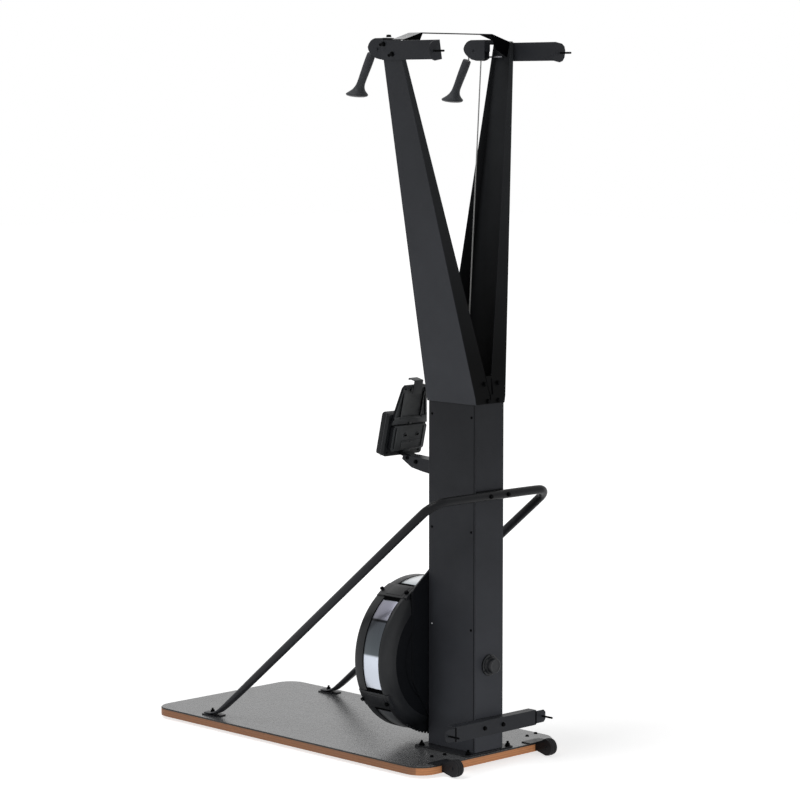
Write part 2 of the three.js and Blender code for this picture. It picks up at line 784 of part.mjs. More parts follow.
for (const [label, sign] of SIDES) {
  const inner = side(cheekShape, ...spanOn(sign, nearCheek - CHEEK_SHEET, nearCheek));
  const outer = side(cheekShape, ...spanOn(sign, farCheek, farCheek + CHEEK_SHEET));
  const back = box(...spanOn(sign, nearCheek - CHEEK_SHEET, flangeEnd), housingBackY - CHEEK_SHEET,
    housingBackY, pulleyZ - PULLEY_AXLE, housingHigh);
  const lid = box(...spanOn(sign, nearCheek - CHEEK_SHEET, farCheek + CHEEK_SHEET),
    housingFrontY + HOUSING_CORNER, housingBackY, housingHigh - CHEEK_SHEET, housingHigh);
  const rivet = rod('x', PULLEY_AXLE, ...spanOn(sign, pulleyX - rivetReach, pulleyX + rivetReach),
    pulleyY, pulleyZ, COARSE);
  add(`pulley_housing_${label}`, joined([inner, outer, back, lid, rivet]), 'frame');
  const wheel = turned('x', [
    [pulleyBore, -halfPulley], [PULLEY_RIM, -halfPulley], [PULLEY_RIM, -halfPulley + PULLEY_LIP],
    [PULLEY_GROOVE, -PULLEY_FLOOR / 2], [PULLEY_GROOVE, PULLEY_FLOOR / 2],
    [PULLEY_RIM, halfPulley - PULLEY_LIP], [PULLEY_RIM, halfPulley], [pulleyBore, halfPulley],
    [pulleyBore, -halfPulley],
  ]);
  add(`top_pulley_${label}`, moved(wheel, sign * pulleyX, pulleyY, pulleyZ), 'plastic');
}

// Drive cords: spool, eyelet in the column cap, over the top pulley, then a short tail to the handle

const cordWrap = PULLEY_GROOVE + CORD_RADIUS + CLEAR;
const wrapSteps = 10;
const handleLean = degrees(HANDLE_LEAN_DEG);
const discLean = degrees(DISC_LEAN_DEG);
const tailTop = pulleyZ - 2 * CLEAR;
const tailY = pulleyY - cordWrap;
for (const [i, [label, sign]] of SIDES.entries()) {
  const [x, y] = cordStarts[i];
  const points = [[x, y, DRUM_Z], [x, y, capTop + 2 * CAP_THICK]];
  for (let step = 0; step <= wrapSteps; step += 1) {
    const angle = (Math.PI * step) / wrapSteps;
    points.push([sign * pulleyX, pulleyY + cordWrap * Math.cos(angle),
      pulleyZ + cordWrap * Math.sin(angle)]);
  }
  add(`drive_cord_${label}`, bar(points, CORD_RADIUS, CORD_SIDES), 'cord');
  const slant = (HANDLE_FORWARD - CORD_RADIUS) * Math.tan(handleLean);
  const tailLow = pulleyZ - HANDLE_DROPS[label] + CLEAR - slant;
  const tail = rod('z', CORD_RADIUS, tailLow, tailTop, sign * pulleyX, tailY, CORD_SIDES);
  add(`cord_tail_${label}`, tail, 'cord');
}

// Handles

// Rings along a leaning axis, each turned a little further towards the flat disc at the end
function handleRing(down, radius, top) {
  const turn = THREE.MathUtils.smoothstep(down, 0, HANDLE_DISC_START_SHARE);
  const lean = handleLean + turn * (discLean - handleLean);
  const y = tailY - HANDLE_FORWARD - down * HANDLE_LENGTH * Math.sin(handleLean);
  const z = top - down * HANDLE_LENGTH * Math.cos(handleLean);
  return circle(0, 0, radius, ROUND).map(([a, b]) => [
    a, y + b * Math.cos(lean), z - b * Math.sin(lean)]);
}
for (const [label, sign] of SIDES) {
  const top = pulleyZ - HANDLE_DROPS[label];
  const rings = HANDLE_PROFILE_SHARES.map(([down, wide]) => (
    handleRing(down, wide * HANDLE_DISC_RADIUS, top))).reverse();
  const grip = skinned(rings.map((ring) => ring.map(([x, y, z]) => [x + sign * pulleyX, y, z])));
  add(`handle_${label}`, grip, 'grip');
}

// Fan drum

function onDrum(geometry) {
  return moved(geometry, 0, 0, DRUM_Z);
}

// Ring about the drum's axis from a closed [radius, Y] outline
function ringShell(points, sides = DRUM_SIDES) {
  return onDrum(turned('y', [...points, points[0]], sides));
}

const drumBackY = columnFront - DRUM_GAP;
const drumFrontY = drumBackY - DRUM_DEPTH;
const bandBackY = drumBackY - BAND_SETBACK;
const bandFrontY = bandBackY - BAND_WIDTH;
const bandRadius = DRUM_RIM_BACK - BAND_INSET;
const drumBack = ringShell([
  [SHAFT_HOLE, drumBackY], [SHAFT_HOLE, drumBackY - DRUM_WALL],
  [BACK_DISC_RADIUS - DRUM_WALL, drumBackY - DRUM_WALL],
  [DRUM_RIM_BACK - 4 * DRUM_WALL, drumBackY - 5 * DRUM_WALL],
  [DRUM_RIM_BACK - DRUM_WALL, drumBackY - 8 * DRUM_WALL],
  [DRUM_RIM_BACK - DRUM_WALL, bandBackY + CLEAR], [DRUM_RIM_BACK, bandBackY + CLEAR],
  [DRUM_RIM_BACK, drumBackY - 6 * DRUM_WALL], [DRUM_RIM_BACK - 2 * DRUM_WALL, drumBackY - 4 * DRUM_WALL],
  [DRUM_RIM_BACK - 8 * DRUM_WALL, drumBackY - 1.4 * DRUM_WALL], [BACK_DISC_RADIUS, drumBackY],
]);
const mountRight = [
  [MOUNT_BOTTOM_HALF, -MOUNT_BOTTOM], [MOUNT_HALF, -MOUNT_LOW], [MOUNT_HALF, MOUNT_SHOULDER],
  [MOUNT_HALF - MOUNT_CHAMFER, MOUNT_SHOULDER + MOUNT_CHAMFER], [MOUNT_TOP_HALF, MOUNT_TOP],
];
const mountShape = bothSides(mountRight);
const mountPlate = onDrum(wall(mountShape, drumBackY - DRUM_WALL / 2, columnFront - CLEAR,
  [circle(0, 0, SHAFT_HOLE, DRUM_SIDES)]));
add('fan_back_cover', joined([drumBack, mountPlate]), 'drum');
add('fan_band', ringShell([
  [bandRadius, bandFrontY], [bandRadius, bandBackY], [bandRadius - DRUM_WALL, bandBackY],
  [bandRadius - DRUM_WALL, bandFrontY],
]), 'metal');

// Front cover with four straps that reach back over the band
const frontInner = DRUM_RIM_FRONT - DRUM_WALL;
const frontShell = ringShell([
  [INLET_RADIUS, drumFrontY], [INLET_RADIUS, drumFrontY + DRUM_WALL],
  [frontInner, drumFrontY + 2 * DRUM_WALL], [frontInner, bandFrontY - CLEAR],
  [DRUM_RIM_FRONT, bandFrontY - CLEAR],
  [DRUM_RIM_FRONT, drumFrontY + DRUM_WALL], [frontInner, drumFrontY],
]);
const strapInner = DRUM_RIM_BACK + CLEAR;
const strapFrontY = drumFrontY + STRAP_FRONT_INSET;
const strapSteps = 4;
const straps = STRAP_ANGLES_DEG.flatMap((angle) => {
  const ends = [angle - STRAP_ARC_DEG / 2, angle + STRAP_ARC_DEG / 2, strapSteps];
  return [
    wall(wedge(strapInner, strapInner + STRAP_SHEET, ...ends), strapFrontY, drumBackY - STRAP_BACK_INSET),
    wall(wedge(frontInner, strapInner + STRAP_SHEET / 2, ...ends), strapFrontY, bandFrontY - 2 * DRUM_WALL),
  ].map(onDrum);
});
add('fan_front_cover', joined([frontShell, ...straps]), 'drum');

// Slotted plate in the inlet, and the damper disc behind it with a lever through the plate's arc
const slotHoles = Array.from({ length: INLET_SLOTS * SLOT_RINGS }, (_, i) => {
  const at = (FULL_TURN_DEG * i) / INLET_SLOTS;
  const inner = SLOT_INNER + (SLOT_LENGTH + SLOT_GAP) * Math.floor(i / INLET_SLOTS);
  return wedge(inner, inner + SLOT_LENGTH, at - SLOT_DEG / 2, at + SLOT_DEG / 2, 3);
});
const leverOuter = LEVER_INNER + LEVER_DEPTH;
const leverMargin = Math.asin((LEVER_WIDTH / 2 + LEVER_GAP) / LEVER_INNER) * (180 / Math.PI);
const leverArc = wedge(LEVER_INNER - LEVER_GAP, leverOuter + LEVER_GAP, LEVER_DEG - leverMargin,
  LEVER_DEG + DAMPER_TURN_DEG + leverMargin, 8);
const plateHoles = [...slotHoles, circle(0, 0, SHAFT_HOLE)];
add('inlet_grille', onDrum(wall(circle(0, 0, INLET_RADIUS - CLEAR, DRUM_SIDES), drumFrontY,
  drumFrontY + DRUM_WALL, [...plateHoles, leverArc])), 'dark');
const damperFront = drumFrontY + DRUM_WALL + 2 * CLEAR;
const damperPlate = wall(circle(0, 0, INLET_RADIUS + DAMPER_LAP, DRUM_SIDES), damperFront,
  damperFront + DAMPER_THICK, plateHoles);
const lever = box(LEVER_INNER, leverOuter, drumFrontY - LEVER_LENGTH, damperFront + DAMPER_THICK / 2,
  -LEVER_WIDTH / 2, LEVER_WIDTH / 2);
lever.rotateY(-degrees(LEVER_DEG));
add('damper_disc', onDrum(joined([damperPlate, lever])), 'dark');

// Rotor with its vanes
const rotorFrontY = drumFrontY + ROTOR_FRONT_GAP;
const rotorBackY = drumBackY - ROTOR_BACK_GAP;
const rotorBore = SHAFT_RADIUS + CLEAR;
const vanes = Array.from({ length: VANE_COUNT }, (_, i) => {
  const vane = box(VANE_INNER, ROTOR_RADIUS - VANE_INSET, rotorFrontY, rotorBackY - ROTOR_DISC_THICK / 2,
    -VANE_THICK / 2, VANE_THICK / 2);
  vane.rotateY((2 * Math.PI * i) / VANE_COUNT);
  return onDrum(vane);
});
const rotorDisc = ringShell([
  [rotorBore, rotorBackY - ROTOR_DISC_THICK], [ROTOR_RADIUS, rotorBackY - ROTOR_DISC_THICK],
  [ROTOR_RADIUS, rotorBackY], [rotorBore, rotorBackY],
]);
const rotorHub = ringShell([
  [rotorBore, rotorFrontY + HUB_RADIUS], [HUB_RADIUS, rotorFrontY + HUB_RADIUS],
  [HUB_RADIUS, rotorBackY - CLEAR], [rotorBore, rotorBackY - CLEAR],
]);
add('flywheel', joined([rotorDisc, rotorHub, ...vanes]), 'steel');
add('flywheel_shaft', rod('y', SHAFT_RADIUS, rotorFrontY - SHAFT_STUB, SHAFT_BACK_REACH, 0, DRUM_Z), 'steel');

// Spools and bearings on the shaft inside the column
const halfSpool = SPOOL_WIDTH / 2;
const spoolLip = halfSpool - SPOOL_LIP;
for (const [i, [label]] of SIDES.entries()) {
  const [, spoolY] = cordStarts[i];
  add(`cord_spool_${label}`, moved(turned('y', [
    [rotorBore, -halfSpool], [SPOOL_RIM, -halfSpool], [SPOOL_RIM, -spoolLip],
    [SPOOL_GROOVE, -spoolLip], [SPOOL_GROOVE, spoolLip], [SPOOL_RIM, spoolLip], [SPOOL_RIM, halfSpool],
    [rotorBore, halfSpool], [rotorBore, -halfSpool],
  ]), 0, spoolY, DRUM_Z), 'plastic');
}
const bearingPlaces = [
  ['front', columnFrontInner + CLEAR],
  ['back', -COVER_LIP - CLEAR - BEARING_DEPTH],
];
for (const [label, y] of bearingPlaces) {
  add(`shaft_bearing_${label}`, ringShell([
    [rotorBore, y], [BEARING_OUTER, y], [BEARING_OUTER, y + BEARING_DEPTH], [rotorBore, y + BEARING_DEPTH],
  ], ROUND), 'steel');
}
const capHollow = SHAFT_BACK_REACH + 2 * CLEAR;
add('axle_cap', onDrum(turned('y', [
  [0, AXLE_CAP_DEPTH], [AXLE_CAP_RADIUS, AXLE_CAP_DEPTH], [AXLE_CAP_RADIUS, AXLE_CAP_FLANGE_DEPTH],
  [AXLE_CAP_FLANGE, AXLE_CAP_FLANGE_DEPTH], [AXLE_CAP_FLANGE, CLEAR], [SHAFT_HOLE, CLEAR],
  [SHAFT_HOLE, capHollow], [0, capHollow],
])), 'dark');

// Brace tube

const tubeX = boardHalf - TUBE_INSET;
const tubeY = CLEAR + TUBE_RADIUS;
const plateTop = seatZ + FOOT_PLATE_THICK;
const tubeEndZ = plateTop + CLEAR + TUBE_RADIUS * TAB_THIN_SHARE;
const tubeEndY = tubeY - (TUBE_TOP_Z - tubeEndZ) / TUBE_SLOPE_SHARE;
const downLeg = new THREE.Vector3(0, -1, -TUBE_SLOPE_SHARE).normalize();
const halfTube = Array.from({ length: TUBE_BEND_STEPS + 1 }, (_, i) => {
  const angle = (Math.PI / 2) * (i / TUBE_BEND_STEPS);
  const down = TUBE_BEND * (1 - Math.cos(angle));
  return [tubeX - TUBE_BEND + TUBE_BEND * Math.sin(angle), tubeY + downLeg.y * down,
    TUBE_TOP_Z + downLeg.z * down];
});
halfTube.push([tubeX, tubeEndY - downLeg.y * FLAT_START, tubeEndZ - downLeg.z * FLAT_START]);
halfTube.push([tubeX, tubeEndY, tubeEndZ], [tubeX, tubeEndY - TUBE_TAB_LENGTH, tubeEndZ]);
const flats = halfTube.map((_, i) => (
  i >= halfTube.length - 2 ? [TAB_WIDE_SHARE, TAB_THIN_SHARE] : [1, 1]));
const wholeTube = [...[...halfTube].reverse(), ...mirrored(halfTube)];
const wholeFlats = [...[...flats].reverse(), ...flats];
add('brace_tube', bar(wholeTube, TUBE_RADIUS, TUBE_SIDES, wholeFlats), 'dark');

// Foot plates under the flattened tube ends

const footHalf = TUBE_RADIUS * TAB_WIDE_SHARE + FOOT_PLATE_MARGIN;
for (const [label, sign] of SIDES) {
  const [x0, x1] = spanOn(sign, tubeX - footHalf, tubeX + footHalf);
  add(`foot_plate_${label}`, slab(rounded(x0, tubeEndY - TUBE_TAB_LENGTH - FOOT_PLATE_MARGIN, x1,
    tubeEndY + FOOT_BACK_REACH, FOOT_PLATE_CORNER), seatZ, plateTop), 'dark');
}

// Transport wheels

const wheelY = boardBackY + WHEEL_BEHIND;
const wheelZ = WHEEL_RADIUS + WHEEL_LIFT;
const halfWheel = WHEEL_WIDTH / 2;
const forkHalf = halfWheel + FORK_GAP + FORK_SHEET;
const forkRootY = boardBackY + FORK_SHEET;
const forkRadius = WHEEL_RADIUS - FORK_INSET;
const forkLow = wheelZ - FORK_ROOT_DROP;
const forkTop = seatZ + FORK_SHEET;
const forkRound = Array.from({ length: FORK_ARC_STEPS + 1 }, (_, i) => {
  const angle = Math.PI * (i / FORK_ARC_STEPS) - Math.PI / 2;
  return [wheelY + forkRadius * Math.cos(angle), wheelZ + forkRadius * Math.sin(angle)];
});
const forkShape = [[forkRootY, forkLow], ...forkRound, [forkRootY, forkTop]];
const forkBackY = boardBackY + FORK_STANDOFF;
const forkRivet = forkHalf + RIVET_RISE;
const wheelBore = WHEEL_AXLE_RADIUS + CLEAR;
for (const [label, sign] of SIDES) {
  const centre = sign * (boardHalf - WHEEL_INSET);
  add(`wheel_fork_${label}`, joined([
    box(centre - FORK_PLATE_HALF_X, centre + FORK_PLATE_HALF_X, boardBackY - FORK_PLATE_LAP,
      forkBackY + FORK_SHEET, seatZ, forkTop),
    box(centre - forkHalf, centre + forkHalf, forkBackY, forkBackY + FORK_SHEET, forkLow, forkTop),
    side(forkShape, centre - forkHalf, centre - forkHalf + FORK_SHEET),
    side(forkShape, centre + forkHalf - FORK_SHEET, centre + forkHalf),
    rod('x', WHEEL_AXLE_RADIUS, centre - forkRivet, centre + forkRivet, wheelY, wheelZ, COARSE),
  ]), 'dark');
  const tyre = turned('x', [
    [wheelBore, -halfWheel], [WHEEL_RADIUS - WHEEL_CHAMFER, -halfWheel],
    [WHEEL_RADIUS, -halfWheel + WHEEL_CHAMFER], [WHEEL_RADIUS, halfWheel - WHEEL_CHAMFER],
    [WHEEL_RADIUS - WHEEL_CHAMFER, halfWheel], [wheelBore, halfWheel], [wheelBore, -halfWheel],
  ]);
  add(`transport_wheel_${label}`, moved(tyre, centre, wheelY, wheelZ), 'rubber');
}

// Monitor arm: folded sheet, open below

const armRootY = columnFront - CLEAR;
const pivotY = columnFront - MONITOR_REACH;
const armLine = (shares) => shares.map(([out, up]) => [
  armRootY - out * MONITOR_REACH, MONITOR_PIVOT_Z + up * MONITOR_REACH]);
const armTopLine = armLine(ARM_TOP_SHARES);
const armSide = [...armLine(ARM_LOW_SHARES), ...armTopLine];
const armBore = [circle(pivotY, MONITOR_PIVOT_Z, PIVOT_RADIUS + CLEAR)];
const sheetLine = armTopLine.slice(0, -1);
const sheetUnder = sheetLine.map(([y, z]) => [y, z - ARM_PLATE]).reverse();
add('monitor_arm', joined([
  side(armSide, ARM_HALF_WIDTH - ARM_PLATE, ARM_HALF_WIDTH, armBore),
  side(armSide, -ARM_HALF_WIDTH, -ARM_HALF_WIDTH + ARM_PLATE, armBore),
  side([...sheetUnder, ...sheetLine], -ARM_HALF_WIDTH, ARM_HALF_WIDTH),
]), 'frame');
const pivotHalf = ARM_HALF_WIDTH + CLEAR;
add('monitor_pivot', moved(turned('x', [
  [0, -pivotHalf - RIVET_RISE], [PIVOT_HEAD, -pivotHalf - RIVET_RISE], [PIVOT_HEAD, -pivotHalf],
  [PIVOT_RADIUS, -pivotHalf], [PIVOT_RADIUS, pivotHalf], [PIVOT_HEAD, pivotHalf],
  [PIVOT_HEAD, pivotHalf + RIVET_RISE], [0, pivotHalf + RIVET_RISE],
], COARSE), 0, pivotY, MONITOR_PIVOT_Z), 'bolt');

// Everything on the monitor is drawn upright about the pivot, then leaned back
function onMonitor(geometry) {
  geometry.rotateX(-degrees(MONITOR_TILT_DEG));
  return moved(geometry, 0, pivotY, MONITOR_PIVOT_Z);
}

const caseBack = -CASE_FORWARD;
const caseFront = caseBack - CASE_THICK;
const caseLow = -CASE_DROP;
const caseHigh = caseLow + CASE_HEIGHT;
const caseShape = rounded(-CASE_HALF_X, caseLow, CASE_HALF_X, caseHigh, CASE_CORNER);
const caseBlock = wall(caseShape, caseFront, caseBack);
const screenLeft = -SCREEN_SHIFT - SCREEN_HALF_X;
const screenRight = -SCREEN_SHIFT + SCREEN_HALF_X;
const screenLow = caseLow + SCREEN_RAISE;
const screenHigh = screenLow + SCREEN_HEIGHT;
const screenPocket = box(screenLeft - CLEAR, screenRight + CLEAR, caseFront - OVERRUN,
  caseFront + SCREEN_THICK + CLEAR, screenLow - CLEAR, screenHigh + CLEAR);
const buttonX = screenRight + BUTTON_GAP + BUTTON_RADIUS;
const buttonZs = Array.from({ length: BUTTON_COUNT }, (_, i) => caseLow + BUTTON_RAISE + i * BUTTON_STEP);
const buttonBores = buttonZs.map((z) => rod('y', BUTTON_RADIUS + CLEAR, caseFront - OVERRUN,
  caseFront + BUTTON_SINK + BUTTON_TRAVEL, buttonX, z, COARSE));
add('display_case', onMonitor(cut(caseBlock, [screenPocket, ...buttonBores])), 'plastic');
add('display_screen', onMonitor(box(screenLeft, screenRight, caseFront, caseFront + SCREEN_THICK,
  screenLow, screenHigh)), 'glass');
buttonZs.forEach((z, i) => {
  add(`display_button_${i + 1}`, onMonitor(rod('y', BUTTON_RADIUS, caseFront - BUTTON_PROUD,
    caseFront + BUTTON_SINK, buttonX, z, COARSE)), 'rubber');
});

const bodyFront = caseBack + CLEAR;
const bodyBack = caseBack + BODY_THICK;
const bodyLow = caseLow + BODY_RAISE;
const bodyHigh = bodyLow + BODY_HEIGHT;
const bodyHalf = CASE_HALF_X - BODY_INSET;
const knuckleLow = -KNUCKLE_RADIUS / 2;
add('display_back', onMonitor(cut(joined([
  wall(rounded(-bodyHalf, bodyLow, bodyHalf, bodyHigh, CASE_CORNER), bodyFront, bodyBack),
  box(-KNUCKLE_HALF, KNUCKLE_HALF, bodyFront, 0, knuckleLow, KNUCKLE_RADIUS),
  box(-KNUCKLE_HALF, KNUCKLE_HALF, bodyFront, bodyBack, knuckleLow, bodyLow + OVERRUN),
  rod('x', KNUCKLE_RADIUS, -KNUCKLE_HALF, KNUCKLE_HALF, 0, 0),
]), [rod('x', PIVOT_RADIUS + CLEAR, -2 * KNUCKLE_HALF, 2 * KNUCKLE_HALF, 0, 0)])), 'plastic');

// Phone cradle above the monitor, with a shelf in front and a sliding clip

const cradleFront = caseBack + 2 * CLEAR;
const cradleBack = cradleFront + CRADLE_THICK;
const cradleLow = bodyHigh + CRADLE_GAP;
const cradleHigh = cradleLow + CRADLE_HEIGHT;
const cradleRight = [
  [CRADLE_LOW_HALF, cradleLow], [CRADLE_HIGH_HALF, cradleHigh - CASE_CORNER],
  [CRADLE_HIGH_HALF - CASE_CORNER, cradleHigh],
];
const recessRight = [
  [CRADLE_LOW_HALF - RECESS_INSET, cradleLow + 2 * RECESS_INSET],
  [CRADLE_HIGH_HALF - RECESS_INSET / 2, cradleHigh - RECESS_INSET],
];
const shelfHalf = CRADLE_LOW_HALF - 2 * RECESS_INSET;
const shelfLow = caseHigh + CLEAR;
const shelfTop = shelfLow + SHELF_SHEET;
add('phone_cradle', onMonitor(cut(joined([
  wall(bothSides(cradleRight), cradleFront, cradleBack),
  box(-shelfHalf, shelfHalf, cradleFront - SHELF_REACH, cradleFront + OVERRUN, shelfLow, shelfTop),
]), [wall(bothSides(recessRight), cradleBack - RECESS_DEPTH, cradleBack + OVERRUN)])), 'plastic');
const clipBack = cradleBack + CLEAR;
const clipFront = cradleFront - CLIP_HOOK;
const clipHigh = cradleHigh + CLIP_RISE;
const clipLow = cradleHigh - CLIP_LAP;
const clipShape = [
  [clipBack, clipLow], [clipBack + CLIP_SHEET, clipLow], [clipBack + CLIP_SHEET, clipHigh],
  [clipFront, clipHigh], [clipFront, clipHigh - 2 * CLIP_SHEET],
  [clipFront + CLIP_SHEET, clipHigh - 2 * CLIP_SHEET], [clipFront + CLIP_SHEET, clipHigh - CLIP_SHEET],
  [clipBack, clipHigh - CLIP_SHEET],
];
const clipSheet = side(clipShape, -CLIP_SHIFT - CLIP_HALF_X, -CLIP_SHIFT + CLIP_HALF_X);
add('cradle_clip', onMonitor(clipSheet), 'plastic');

// The origin lies on the floor under the middle of the outer box
machine.position.y = -(boardFrontY + wheelY + WHEEL_RADIUS) / 2;
machine.updateMatrixWorld(true);

export default machine;
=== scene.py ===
import json
import math

import bmesh
import bpy
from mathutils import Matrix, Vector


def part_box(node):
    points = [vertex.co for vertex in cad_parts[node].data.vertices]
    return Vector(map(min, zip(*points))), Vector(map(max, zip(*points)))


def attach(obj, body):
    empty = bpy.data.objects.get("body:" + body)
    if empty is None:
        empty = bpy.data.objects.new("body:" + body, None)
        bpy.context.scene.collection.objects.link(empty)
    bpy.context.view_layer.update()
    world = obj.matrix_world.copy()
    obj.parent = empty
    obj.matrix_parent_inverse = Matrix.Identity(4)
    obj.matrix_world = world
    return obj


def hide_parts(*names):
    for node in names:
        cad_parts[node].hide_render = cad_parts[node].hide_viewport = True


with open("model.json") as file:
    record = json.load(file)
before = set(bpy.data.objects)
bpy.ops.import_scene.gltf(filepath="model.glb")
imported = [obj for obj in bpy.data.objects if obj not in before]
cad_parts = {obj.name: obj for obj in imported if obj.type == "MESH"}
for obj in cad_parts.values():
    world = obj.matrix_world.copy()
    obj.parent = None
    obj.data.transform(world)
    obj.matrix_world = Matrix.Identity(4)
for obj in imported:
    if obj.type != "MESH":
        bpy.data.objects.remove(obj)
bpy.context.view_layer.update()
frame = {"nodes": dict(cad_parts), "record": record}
nodes = frame["nodes"]

# Ski trainer. Metres, Z up, the wall side is +Y and the user stands at -Y.

FRAME = "frame_body"
COLUMN_BACK = 0.563
COLUMN_SIDE = 0.05885
DRUM_AXIS_Z = 0.299
MM = 0.001
SIDES = (("right", 1), ("left", -1))


def back(mm):
    """Y of a place given in mm from the column's back face."""
    return COLUMN_BACK + mm * MM


def in_mm(pairs):
    return [(a * MM, b * MM) for a, b in pairs]


def span_on(sign, near, far):
    return sorted((sign * near, sign * far))


def just_made(name):
    piece = bpy.context.object
    piece.name = name
    return piece


# Camera and light

CAMERA_PLACE = (6.0390, 6.3876, 1.9711)
CAMERA_DOWN_DEG = 5.988
CAMERA_TURN_DEG = 135.774
CAMERA_LENS = 128.79
WORLD_LIGHT = 0.22
FLOOR_GREY = 0.70
GLOW_REACH = (0.7, 2.4)
GLOW_STRENGTH = (0.69, 0.96)


def add_camera():
    turn = (math.radians(90 - CAMERA_DOWN_DEG), 0, math.radians(CAMERA_TURN_DEG))
    bpy.ops.object.camera_add(location=CAMERA_PLACE, rotation=turn)
    camera = just_made("studio_camera")
    camera.data.sensor_width = 36
    camera.data.lens = CAMERA_LENS
    camera.data.clip_end = 60
    bpy.context.scene.camera = camera


def add_softbox(name, place, aim, size, power, mirrored=False):
    bpy.ops.object.light_add(type="AREA", location=place)
    lamp = just_made(name)
    lamp.data.shape = "RECTANGLE"
    lamp.data.size, lamp.data.size_y = size
    lamp.data.energy = power
    lamp.visible_camera = False
    lamp.visible_glossy = mirrored
    across = [a - b for a, b in zip(aim, place)]
    flat = math.hypot(across[0], across[1])
    heading = math.atan2(across[0], -across[1]) + math.pi
    lamp.rotation_euler = (math.atan2(flat, -across[2]), 0, heading)


def node_set(owner):
    tree = owner.node_tree
    return tree.nodes, tree.links


def calculate(parts, links, operation, first, second):
    step = parts.new("ShaderNodeMath")
    step.operation = operation
    links.new(first, step.inputs[0])
    links.new(second, step.inputs[1])
    return step.outputs[0]


def remap(parts, links, value, from_low, from_high, to_low=0, to_high=1):
    scale = parts.new("ShaderNodeMapRange")
    scale.inputs["From Min"].default_value = from_low
    scale.inputs["From Max"].default_value = from_high
    scale.inputs["To Min"].default_value = to_low
    scale.inputs["To Max"].default_value = to_high
    links.new(value, scale.inputs["Value"])
    return scale.outputs["Result"]


def height_of(parts, links, where):
    split = parts.new("ShaderNodeSeparateXYZ")
    links.new(where, split.inputs[0])
    return split.outputs["Z"]


def white_surroundings():
    """Soft light from all round, and plain white wherever the world itself is seen."""
    world = bpy.data.worlds.new("studio_white")
    bpy.context.scene.world = world
    world.use_nodes = True
    parts, links = node_set(world)
    parts.clear()
    out = parts.new("ShaderNodeOutputWorld")
    mix = parts.new("ShaderNodeMixShader")
    for socket, strength in ((1, WORLD_LIGHT), (2, 1.0)):
        white = parts.new("ShaderNodeBackground")
        white.inputs["Color"].default_value = (1, 1, 1, 1)
        white.inputs["Strength"].default_value = strength
        links.new(white.outputs[0], mix.inputs[socket])
    path = parts.new("ShaderNodeLightPath").outputs
    either = calculate(parts, links, "MAXIMUM", path["Is Camera Ray"], path["Is Glossy Ray"])
    seen = calculate(parts, links, "MAXIMUM", either, path["Is Transmission Ray"])
    links.new(seen, mix.inputs[0])
    links.new(mix.outputs[0], out.inputs[0])


def add_floor():
    bpy.ops.mesh.primitive_plane_add(size=60, location=(0, 0, -0.0005))
    floor = just_made("studio_floor")
    bpy.ops.object.transform_apply(location=True, rotation=True, scale=True)
    paint = bpy.data.materials.new("floor_white")
    paint.use_nodes = True
    parts, links = node_set(paint)
    parts.clear()
    out = parts.new("ShaderNodeOutputMaterial")
    both = parts.new("ShaderNodeAddShader")
    matte = parts.new("ShaderNodeBsdfDiffuse")
    glow = parts.new("ShaderNodeEmission")
    matte.inputs["Color"].default_value = (FLOOR_GREY, FLOOR_GREY, FLOOR_GREY, 1)
    glow.inputs["Color"].default_value = (1, 1, 1, 1)
    spot = parts.new("ShaderNodeTexCoord")
    reach = parts.new("ShaderNodeVectorMath")
    reach.operation = "LENGTH"
    links.new(spot.outputs["Object"], reach.inputs[0])
    fade = remap(parts, links, reach.outputs["Value"], *GLOW_REACH, *GLOW_STRENGTH)
    links.new(fade, glow.inputs["Strength"])
    path = parts.new("ShaderNodeLightPath").outputs
    seen = calculate(parts, links, "MAXIMUM", path["Is Camera Ray"], path["Is Glossy Ray"])
    pick = parts.new("ShaderNodeMixShader")
    links.new(matte.outputs[0], both.inputs[0])
    links.new(glow.outputs[0], both.inputs[1])
    links.new(seen, pick.inputs[0])
    links.new(matte.outputs[0], pick.inputs[1])
    links.new(both.outputs[0], pick.inputs[2])
    links.new(pick.outputs[0], out.inputs["Surface"])
    floor.data.materials.append(paint)


add_camera()
white_surroundings()
add_floor()
add_softbox("softbox_high", (3.2, -0.6, 6.6), (0, 0, 0.6), (3.0, 3.0), 165, True)
add_softbox("softbox_left", (6.5, -2.2, 1.9), (0, 0, 0.9), (2.5, 3.0), 112)
add_softbox("softbox_low", (0.5, 3.9, 0.40), (0, 0.5, 0.25), (2.4, 0.7), 62)
bpy.context.scene.view_settings.view_transform = "Standard"


# Finishes

NOISE_SPREAD = (0.3, 0.7)


def finish_base(name, color, roughness, metallic=0.0):
    paint = bpy.data.materials.new(name)
    paint.use_nodes = True
    parts, links = node_set(paint)
    shader = parts["Principled BSDF"]
    shader.inputs["Base Color"].default_value = (*color, 1)
    shader.inputs["Roughness"].default_value = roughness
    shader.inputs["Metallic"].default_value = metallic
    place = parts.new("ShaderNodeTexCoord")
    return paint, parts, links, shader, place.outputs["Object"]


def noise(parts, links, where, scale, detail=3.0):
    cloud = parts.new("ShaderNodeTexNoise")
    cloud.inputs["Scale"].default_value = scale
    cloud.inputs["Detail"].default_value = detail
    links.new(where, cloud.inputs["Vector"])
    return cloud.outputs["Fac"]


def mottle(parts, links, shader, amount, color, spread):
    """Base colour that drifts by a share of itself with a pattern."""
    ramp = parts.new("ShaderNodeValToRGB")
    low, high = ramp.color_ramp.elements
    low.position, high.position = NOISE_SPREAD
    low.color = (*[c * (1 - spread) for c in color], 1)
    high.color = (*[min(1, c * (1 + spread)) for c in color], 1)
    links.new(amount, ramp.inputs["Fac"])
    links.new(ramp.outputs["Color"], shader.inputs["Base Color"])


